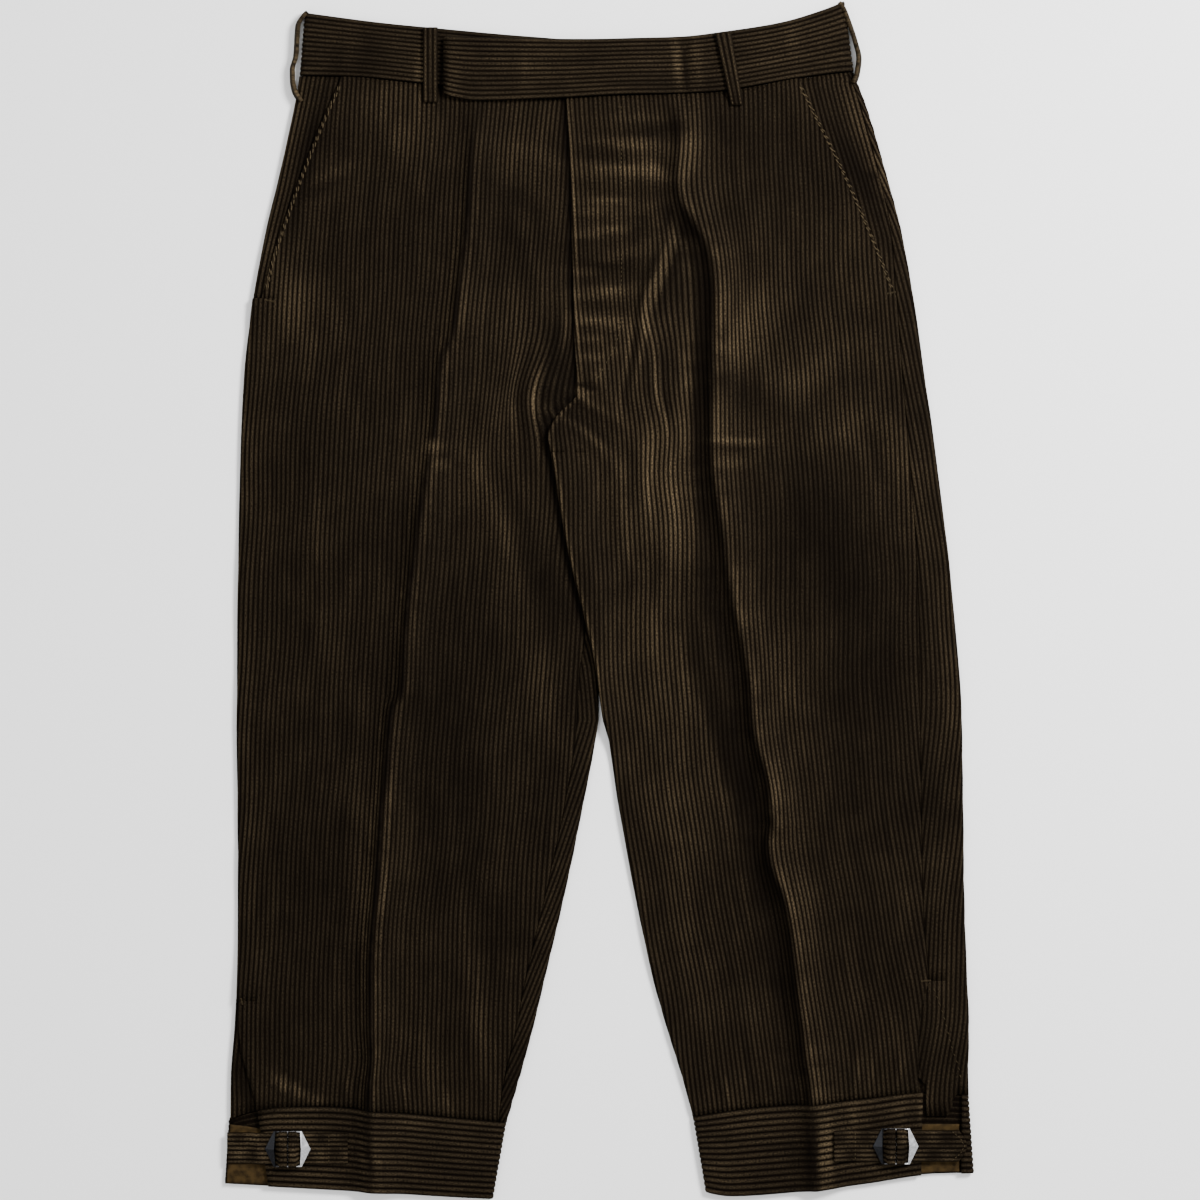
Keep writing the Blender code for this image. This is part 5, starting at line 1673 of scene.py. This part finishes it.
def side_loop(side):
    outward = -1 if side == "right" else 1
    contour = SIDE_LOOPS[side]
    down = np.linspace(contour[0][0], contour[-1][0], LOOP_ROWS)
    z = np.linspace(SIDE_LOOP_WIDTH, 0.0, LOOP_COLUMNS)[None, ::outward]
    rolled = 0.5 * np.abs(2 * z / SIDE_LOOP_WIDTH - 1) ** 6 + SIDE_LOOP_LEAN * z / SIDE_LOOP_WIDTH
    x = smooth(contour, down)[:, None] - outward * rolled
    wale = np.broadcast_to(0.5 + z / SIDE_LOOP_WIDTH * 2, x.shape)
    points = np.stack([x, down[:, None] + 0 * z, z + 0 * x], -1)
    pile = SIDE_LOOP_PILE + 0 * x
    return make_cloth(side + "_side_loop", [whole(points, wale, points[..., 1] / WALE, pile)],
                      SIDE_LOOP_WALL, CORDUROY, LOOP_DEPTH)


loops = {"front_right": front_loop("right"), "front_left": front_loop("left"),
         "side_right": side_loop("right"), "side_left": side_loop("left")}

# %% [markdown]
# ## Straps
#
# A strap from each end of the cuff runs under the buckle's end bar, up through its window and
# over the middle bar. It is folded cloth with the wales along it and both long edges turned in,
# and it spreads a little where it is bent over the bar.

# %% Straps
WINDOW_FAR = 9.2
STRAP_WIDTH = 23.6
RIGHT_BUCKLE = (-232.4, 855.6)
LEFT_BUCKLE = (220.1, 853.6)
STRAP_THROUGH = [(11.0, 0.0), (9.3, 0.1), (7.6, 1.9), (6.2, 3.6), (4.2, 4.6), (2.4, 4.5),
                 (0.4, 3.9)]
STRAP_BASE = CUFF_STACK + GAP + STRAP_WALL
STRAP_LOW = CUFF_WALL + FACING_WALL + 2 * GAP + STRAP_WALL
STRAP_STARTS = {
    "outer_right": [(-278.0, STRAP_LOW), (-270.0, STRAP_LOW), (-262.5, STRAP_LOW),
                    (-254.5, STRAP_BASE)],
    "inner_right": [(-188.0, STRAP_BASE), (-204.0, STRAP_BASE)],
    "outer_left": [(273.4, STRAP_BASE), (252.0, STRAP_BASE)],
    "inner_left": [(174.4, STRAP_BASE + 3.8), (180.5, STRAP_BASE + 1.8), (188.0, STRAP_BASE)],
}
STRAP_WALES = 7
STRAP_DEPTH = 0.45
STRAP_COLUMN = 1.2
STRAP_SPREAD = 3.4
STRAP_TONE = 0.25
POINTED_END = 0.12


def strap(name):
    centre = LEFT_BUCKLE if name.endswith("left") else RIGHT_BUCKLE
    outward = 1 if name in ("inner_right", "outer_left") else -1
    path = sorted(STRAP_STARTS[name] + [(centre[0] + outward * to_bar, STRAP_BASE + rise)
                                        for to_bar, rise in STRAP_THROUGH])
    start, end = path[0][0], path[-1][0]
    x = np.linspace(start, end, int((end - start) / STRAP_COLUMN) + 2)[None, :]
    steps = STRAP_WALES * STEPS_PER_WALE
    t = (np.arange(steps + 1) / steps)[:, None]
    from_middle = np.abs(2 * t - 1)
    if name == "outer_left":
        x = start + (x - start) * (1 - POINTED_END * from_middle ** 1.6)
    z = smooth(path, x)
    over_bar = ramp(1.2, 3.4, z - STRAP_BASE) * (np.abs(x - centre[0]) < WINDOW_FAR - 0.2)
    down = centre[1] + (t - 0.5) * (STRAP_WIDTH + STRAP_SPREAD * over_bar)
    rubbed = 0.5 * np.sin(x * 0.31) * np.cos(down * 0.23)
    # the pile's patches, painted shade and highlights among them
    pile = np.exp(spots(PILE_AND_PAINTED_LIGHT_PATCHES, x, down) + rubbed + STRAP_TONE)
    z = z - 0.6 * from_middle ** 6
    wale = t * STRAP_WALES + 0 * x
    points = np.stack([x + 0 * t, down + 0 * x, z + 0 * x], -1)
    return make_cloth("strap_piece_" + name, [whole(points, wale, points[..., 0] / WALE, pile)],
                      STRAP_WALL, CORDUROY, STRAP_DEPTH)


straps = {name: strap(name) for name in STRAP_STARTS}

# %% [markdown]
# ## Slide buckles
#
# Each buckle is a flat steel plate with a window on each side of its middle bar and a pointed
# end. The ends are pressed into facets that meet in a ridge on the buckle's middle line. Every
# bar is built as a foot, a rim and a crest, and a bevel softens its edges. The end that points
# to the wearer's right is painted nearly black, as a dark reflection, and the other end is bright.

# %% Buckles
BUCKLE_POINT = 17.0
BUCKLE_HIGH = 13.4
BUCKLE_SHOULDER = 10.4
WINDOW_HIGH = 12.1
MIDDLE_BAR = 0.8
PLATE = 1.6
RIM_SHARE = 0.55
BUCKLE_BEVEL = 0.22
PLATE_BASE = CUFF_STACK + STRAP_WALL + 2 * GAP


def bar(bm, corners, crest):
    """A bar with a raised middle: corners go round its foot, and crest is its top line."""
    low = [bm.verts.new((x, y, 0.0)) for x, y in corners]
    rim = [bm.verts.new((x, y, PLATE * RIM_SHARE)) for x, y in corners]
    top = [bm.verts.new(point) for point in crest]
    count = len(corners)
    bm.faces.new(low[::-1])
    for i in range(count):
        j = (i + 1) % count
        bm.faces.new((low[i], low[j], rim[j], rim[i]))
        near_i = min(top, key=lambda v: (v.co.xy - rim[i].co.xy).length)
        near_j = min(top, key=lambda v: (v.co.xy - rim[j].co.xy).length)
        loop = [rim[i], rim[j], near_j] + ([near_i] if near_i is not near_j else [])
        bm.faces.new(loop)


def buckle_bars(bm):
    """Both pointed ends, both rails and the middle bar."""
    for sign in (-1, 1):
        foot = [(sign * WINDOW_FAR, -BUCKLE_HIGH), (sign * BUCKLE_SHOULDER, -BUCKLE_HIGH),
                (sign * BUCKLE_POINT, 0.0),
                (sign * BUCKLE_SHOULDER, BUCKLE_HIGH), (sign * WINDOW_FAR, BUCKLE_HIGH)]
        bar(bm, foot[::sign], [(sign * (WINDOW_FAR + 0.9), 0.0, PLATE + 1.1),
                               (sign * (BUCKLE_POINT - 1.6), 0.0, PLATE * 0.8)])
        rail = [(-WINDOW_FAR, sign * WINDOW_HIGH), (WINDOW_FAR, sign * WINDOW_HIGH),
                (WINDOW_FAR, sign * BUCKLE_HIGH), (-WINDOW_FAR, sign * BUCKLE_HIGH)]
        middle = sign * (WINDOW_HIGH + BUCKLE_HIGH) / 2
        bar(bm, rail[::sign], [(-WINDOW_FAR + 0.4, middle, PLATE),
                               (WINDOW_FAR - 0.4, middle, PLATE)])
    reach = WINDOW_HIGH + 0.4
    post = [(-MIDDLE_BAR, -reach), (MIDDLE_BAR, -reach), (MIDDLE_BAR, reach), (-MIDDLE_BAR, reach)]
    bar(bm, post, [(0.0, -WINDOW_HIGH, PLATE * 0.9), (0.0, WINDOW_HIGH, PLATE * 0.9)])


def make_buckle(side, centre):
    bm = bmesh.new()
    buckle_bars(bm)
    bmesh.ops.recalc_face_normals(bm, faces=bm.faces)
    place = to_frame([centre[0], centre[1], PLATE_BASE])
    for vert in bm.verts:
        vert.co = (vert.co.x * MM + place[0], vert.co.y * MM + place[1], vert.co.z * MM + place[2])
    mesh = bpy.data.meshes.new(side + "_slide_buckle")
    bm.to_mesh(mesh)
    bm.free()
    # marks the end towards -X for its painted dark reflection
    painted_dark_end = [float(vert.co.x < place[0] - MIDDLE_BAR * MM) for vert in mesh.vertices]
    mesh.attributes.new("painted_dark_end", "FLOAT", "POINT").data.foreach_set("value", painted_dark_end)
    mesh.materials.append(STEEL)
    buckle = bpy.data.objects.new(side + "_slide_buckle", mesh)
    bpy.context.scene.collection.objects.link(buckle)
    bevel = buckle.modifiers.new("edges", "BEVEL")
    bevel.width = BUCKLE_BEVEL * MM
    bevel.segments = 2
    bevel.limit_method = "ANGLE"
    print(buckle.name, "faces", len(mesh.polygons))
    return buckle


buckle_right = make_buckle("right", RIGHT_BUCKLE)
buckle_left = make_buckle("left", LEFT_BUCKLE)

# %% [markdown]
# ## Stitches
#
# Stitches repeat along a line, so Geometry Nodes lay them: the tree turns a line into evenly
# spaced points, sets a small rounded stitch on each, turns it along the line, and slants it by
# a named angle. The same tree sews the fly, the pocket edges, the loops, the straps and the bar
# tacks, each with its own pitch, length and thickness.

# %% Stitch tree
def make_stitch_tree():
    tree = bpy.data.node_groups.new("row_of_stitches", "GeometryNodeTree")
    tree.interface.new_socket("Line", in_out="INPUT", socket_type="NodeSocketGeometry")
    for name in ("Pitch", "Length", "Thickness", "Slant"):
        tree.interface.new_socket(name, in_out="INPUT", socket_type="NodeSocketFloat")
    tree.interface.new_socket("Thread", in_out="INPUT", socket_type="NodeSocketMaterial")
    tree.interface.new_socket("Stitches", in_out="OUTPUT", socket_type="NodeSocketGeometry")
    wire = Wire(tree)
    seam = wire.add("NodeGroupInput")
    pitch, length, thickness, slant, thread = (Wire(tree, seam.socket.node.outputs[i])
                                               for i in range(1, 6))
    path = wire.add("GeometryNodeMeshToCurve", {}, {"Mesh": seam})
    spaced = wire.add("GeometryNodeResampleCurve", {"mode": "LENGTH"},
                      {"Curve": path, "Length": pitch})
    ball = wire.add("GeometryNodeMeshUVSphere", {}, {"Segments": 6, "Rings": 4, "Radius": 0.5})
    size = wire.add("ShaderNodeCombineXYZ", {}, {0: length, 1: thickness, 2: thickness})
    stitch = wire.add("GeometryNodeTransform", {}, {"Geometry": ball, "Scale": size})
    tangent = wire.add("GeometryNodeInputTangent")
    turned = wire.add("FunctionNodeAlignRotationToVector", {"axis": "X"}, {"Vector": tangent})
    lean = wire.add("ShaderNodeCombineXYZ", {}, {0: 0.0, 1: 0.0, 2: slant})
    lean_turn = wire.add("FunctionNodeEulerToRotation", {}, {0: lean})
    leaned = wire.add("FunctionNodeRotateRotation", {"rotation_space": "LOCAL"},
                      {"Rotation": turned, "Rotate By": lean_turn})
    laid = wire.add("GeometryNodeInstanceOnPoints", {},
                    {"Points": spaced, "Instance": stitch, "Rotation": leaned})
    plain = wire.add("GeometryNodeRealizeInstances", {}, {"Geometry": laid})
    sewn = wire.add("GeometryNodeSetMaterial", {}, {"Geometry": plain, "Material": thread})
    out = tree.nodes.new("NodeGroupOutput")
    tree.links.new(sewn.socket, out.inputs[0])
    return tree


STITCH_TREE = make_stitch_tree()
print("inputs of the stitch tree:", [item.name for item in STITCH_TREE.interface.items_tree])

# %% [markdown]
# ## Sewing along lines
#
# A row of stitches needs a line to follow. `between` draws a smooth one through a few corners,
# `on_front` lays it on the front's own height, wrinkles and all, and `sew` runs the tree on it.

# %% Sewing
def sew(name, lines, pitch, length, thickness, slant=0.0):
    """Rows of stitches along lines of (x, down, z) places."""
    points, edges = [], []
    for places in lines:
        start = len(points)
        points.extend(to_frame(places).tolist())
        edges.extend((start + i, start + i + 1) for i in range(len(places) - 1))
    mesh = bpy.data.meshes.new(name)
    mesh.from_pydata(points, edges, [])
    piece = bpy.data.objects.new(name, mesh)
    bpy.context.scene.collection.objects.link(piece)
    run_tree(piece, STITCH_TREE, {"Pitch": pitch * MM, "Length": length * MM,
                                  "Thickness": thickness * MM, "Slant": math.radians(slant),
                                  "Thread": THREAD})
    piece.data.shade_smooth()
    print(name, "faces", len(piece.data.polygons))
    return piece


def on_front(side, places, lift):
    """Places (x, down) on the front, with their height."""
    x, down = np.array(places, float).T
    z = front_height(side, x, down) + pressed(spots(WRINKLES, x, down)) + lift
    return np.stack([x, down, z], -1)


def between(points, step=2.0):
    """Close places along a smooth line given as (x, down) corners."""
    points = np.array(points, float)
    walked = np.concatenate([[0], np.cumsum(np.hypot(*np.diff(points, axis=0).T))])
    at = np.arange(0, walked[-1], step)
    return np.stack([smooth(list(zip(walked, points[:, i])), at) for i in (0, 1)], -1)


fly_line = between([(15.6, 80), (16.0, 150), (15.6, 238), (12.0, 256), (3.7, 272), (-3.7, 285)])
print("places on the fly's row:", len(fly_line))

# %% [markdown]
# ## Sewing the front
#
# The fly is sewn down in a long J. The pocket mouths have two slanted rows of heavy stitches
# that look like a fine rope, and a bar tack holds each pocket's lower end and each vent's upper
# end. A light row holds the turned edge of the left back at its vent.

# %% Stitches on the front
fly_stitches = sew("fly_stitching", [on_front("left", fly_line, -0.25)], 3.2, 2.2, 0.55)


def pocket_row(side, into_cloth):
    """A row down a pocket mouth, set into the front's cloth by a few millimetres."""
    inward = 1 if side == "right" else -1
    downs = np.arange(66.0, 216.0, 3.0)
    mouth = line(POCKETS, side + "_mouth", downs) + inward * into_cloth
    return on_front(side, np.stack([mouth, downs], -1), 0.05)


upper_rows, lower_rows = ([pocket_row(side, into_cloth) for side in ("right", "left")]
                          for into_cloth in (2.1, 0.8))
pocket_upper = sew("pocket_edge_upper_stitches", upper_rows, 4.9, 4.4, 0.9, slant=14.0)
pocket_lower = sew("pocket_edge_lower_stitches", lower_rows, 5.6, 4.0, 0.8, slant=24.0)
tacks = [
    on_front("right", [(-249.5, 223.4), (-243.5, 224.6)], 0.3),
    on_front("left", [(214.0, 218.8), (220.0, 217.6)], 0.3),
    on_front("right", [(-267.4, 744.0), (-266.4, 748.0)], 0.3),
    on_front("left", [(239.5, 731.0), (246.0, 730.4)], 0.5),
]
tack_stitches = sew("bar_tacks", tacks, 0.9, 1.7, 0.5, slant=70.0)
vent_down = np.arange(738.0, 806.0, 4.0)
vent_x = line(VENTS, "left_back", vent_down) + 1.6
vent_line = np.stack([vent_x, vent_down, np.full(len(vent_down), LEG_STACK + 0.1)], -1)
vent_stitches = sew("vent_stitching", [vent_line], 5.2, 2.6, 0.4, slant=18.0)

# %% [markdown]
# ## Sewing loops and straps
#
# The front loops have two rows along their edges, and the straps' free ends are held by a row
# across or a pointed row.

# %% Stitches on loops and straps
def loop_line(loop, edge):
    """A row along a front loop; edge is its place from -1 to 1 across the loop."""
    t = np.linspace(0.03, 0.97, 20)
    down = mix(loop.top_down, loop.low_down, t)
    half_width = mix(loop.top_width, loop.low_width, t) / 2
    height = BAND_STACK + GAP + LOOP_WALL
    z = smooth([(loop.top_down, height), (mix(loop.top_down, loop.low_down, 0.4), height + 1.0),
                (loop.seam + 2.5, height), (loop.seam + 8.0, height - 1.7),
                (loop.low_down, height - 2.0)], down)
    return np.stack([mix(loop.top_x, loop.low_x, t) + edge * half_width, down, z - 0.05], -1)


loop_lines = [loop_line(loop, edge) for loop in FRONT_LOOPS.values() for edge in (-0.62, 0.62)]
loop_stitches = sew("loop_stitching", loop_lines, 3.0, 2.0, 0.5)
strap_rows = [
    [(263.0, 843.4), (268.5, 848.0), (271.3, 853.6), (268.5, 859.0), (263.0, 863.8)],
    [(190.0, 844.6), (190.0, 862.6)],
    [(-201.9, 846.6), (-201.9, 864.6)],
]
strap_lines = [[(x, down, STRAP_BASE + 0.05) for x, down in row] for row in strap_rows]
strap_stitches = sew("strap_stitching", strap_lines, 2.6, 1.8, 0.5)

# %% [markdown]
# ## Floor, light and camera
#
# The breeches lie on a plain pale floor. A large soft light hangs above and to the upper right,
# so the left sides of the creases fall into a gentle shade, and a broad dim fill opens the
# shadows. The camera looks straight down through a long lens from far above, which keeps the
# outline free of perspective.

# %% Floor, light and camera
FLOOR_SIZE = 3.0
FLOOR_DOWN = -0.0003
FLOOR_TONE = 0.93


def make_stage():
    mesh = bpy.data.meshes.new("pale_floor")
    corners = [(-1, -1), (1, -1), (1, 1), (-1, 1)]
    mesh.from_pydata([(x * FLOOR_SIZE, y * FLOOR_SIZE, FLOOR_DOWN) for x, y in corners], [],
                     [(0, 1, 2, 3)])
    material, shader, _wire = new_material("pale_paper", 0.9)
    shader.inputs["Base Color"].default_value = (FLOOR_TONE, FLOOR_TONE, FLOOR_TONE, 1.0)
    mesh.materials.append(material)
    floor = bpy.data.objects.new("pale_floor", mesh)
    bpy.context.scene.collection.objects.link(floor)
    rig.stage(floor)


def make_light(name, place, size, energy):
    data = bpy.data.lights.new(name, "AREA")
    data.shape = "DISK"
    data.size = size
    data.energy = energy
    light = bpy.data.objects.new(name, data)
    bpy.context.scene.collection.objects.link(light)
    light.location = place
    aim = -light.location.normalized()
    light.rotation_euler = aim.to_track_quat("-Z", "Y").to_euler()


def make_world(strength):
    world = bpy.data.worlds.new("soft_room")
    world.use_nodes = True
    background = world.node_tree.nodes["Background"]
    background.inputs["Color"].default_value = (1.0, 1.0, 1.0, 1.0)
    background.inputs["Strength"].default_value = strength
    bpy.context.scene.world = world


LENS = 100.0
SENSOR = 36.0
VIEW_SIZE = 0.8965
make_stage()
make_light("key", (1.25, 0.95, 1.50), 0.7, 105.0)
make_light("fill", (-1.0, -0.4, 2.2), 1.6, 15.0)
make_world(0.96)
camera_data = bpy.data.cameras.new("overhead")
camera_data.lens = LENS
camera_data.sensor_width = SENSOR
camera = bpy.data.objects.new("overhead", camera_data)
bpy.context.scene.collection.objects.link(camera)
camera.location = (MIDDLE[0] - CENTRE_X * MM, MIDDLE[1], VIEW_SIZE * LENS / SENSOR)
bpy.context.scene.camera = camera
print("camera height:", round(camera.location.z, 3), "m")

# %% [markdown]
# ## Handing the pieces over
#
# Every piece rides on the one body of the garment, names the CAD pieces it stands for and the
# finish it takes, and each sheet of cloth states the size it was cut to. The cut's width and
# length are the most cloth that the piece needs each way, and its area is measured on the
# smooth surface before the wales were raised.

# %% Hand over
Sheet = namedtuple("Sheet", "piece node slot width length held rests_on")
CORD, TAN, STEEL_SLOT = "brown_corduroy", "tan_facing", "buckle_steel"
TABLE = ["pale_floor"]
SHEETS = table_of(Sheet, [
    (front_right, "front_right", CORD, 0.330, 0.790, "laid", ["right_back_panel"]),
    (front_left, "front_left", CORD, 0.330, 0.790, "laid",
     ["left_back_panel", "right_front_panel"]),
    (back_right, "back_right", CORD, 0.330, 0.790, "laid", TABLE),
    (back_left, "back_left", CORD, 0.330, 0.790, "laid", TABLE),
    (hip_right, "hip_facing_right", CORD, 0.070, 0.175, "laid", ["right_back_panel"]),
    (hip_left, "hip_facing_left", CORD, 0.070, 0.175, "laid", ["left_back_panel"]),
    (band_right, "waistband_right", CORD, 0.455, 0.052, "folded", TABLE),
    (band_left, "waistband_left", CORD, 0.505, 0.056, "folded", ["right_waistband"]),
    (cuff_right, "cuff_right", CORD, 0.400, 0.060, "folded", TABLE),
    (cuff_left, "cuff_left", CORD, 0.400, 0.062, "folded", TABLE),
    (facing_right, "cuff_facing_right", TAN, 0.036, 0.044, "laid", ["right_knee_cuff"]),
    (facing_left, "cuff_facing_left", TAN, 0.034, 0.038, "laid", ["left_knee_cuff"]),
    (loops["front_right"], "loop_front_right", CORD, 0.0113, 0.057, "laid", ["right_waistband"]),
    (loops["front_left"], "loop_front_left", CORD, 0.0128, 0.057, "laid", ["left_waistband"]),
    (loops["side_right"], "loop_side_right", CORD, 0.010, 0.072, "laid", TABLE),
    (loops["side_left"], "loop_side_left", CORD, 0.010, 0.068, "laid", TABLE),
    (straps["outer_right"], "strap_outer_right", CORD, 0.052, 0.024, "laid",
     ["right_cuff_facing"]),
    (straps["inner_right"], "strap_inner_right", CORD, 0.048, 0.024, "laid",
     ["right_knee_cuff"]),
    (straps["outer_left"], "strap_outer_left", CORD, 0.058, 0.024, "laid", ["left_knee_cuff"]),
    (straps["inner_left"], "strap_inner_left", CORD, 0.052, 0.024, "laid", ["left_knee_cuff"]),
])


def hand_over(piece, slot, node=None):
    """Names the CAD node that a piece stands for, its finish and its body."""
    if node:
        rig.replaces(piece, node)
    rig.slot(piece, slot)
    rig.ride(piece, "root")


for sheet in SHEETS:
    hand_over(sheet.piece, sheet.slot, sheet.node)
    most = sheet.width * sheet.length
    area = TALLY[sheet.piece.name]
    print(sheet.piece.name, "cut", sheet.width, "x", sheet.length, "share", round(area / most, 3))
    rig.sheet(sheet.piece, flat=(sheet.width, sheet.length), held=sheet.held,
             rests_on=sheet.rests_on, area=min(area, most))
hand_over(buckle_right, STEEL_SLOT, "buckle_right")
hand_over(buckle_left, STEEL_SLOT, "buckle_left")
for stitches in (fly_stitches, pocket_upper, pocket_lower, tack_stitches, vent_stitches,
                 loop_stitches, strap_stitches):
    hand_over(stitches, CORD)

# %% [markdown]
# ## The size, written down
#
# The finished model must keep the CAD model's size, so both boxes are written down to compare.

# %% Finish
made_box = [list(corner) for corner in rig.bounds()]
with open("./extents.json", "w") as file:
    json.dump({"cad": CAD_BOX, "scene": made_box}, file)
print("made box from", made_box[0], "to", made_box[1])
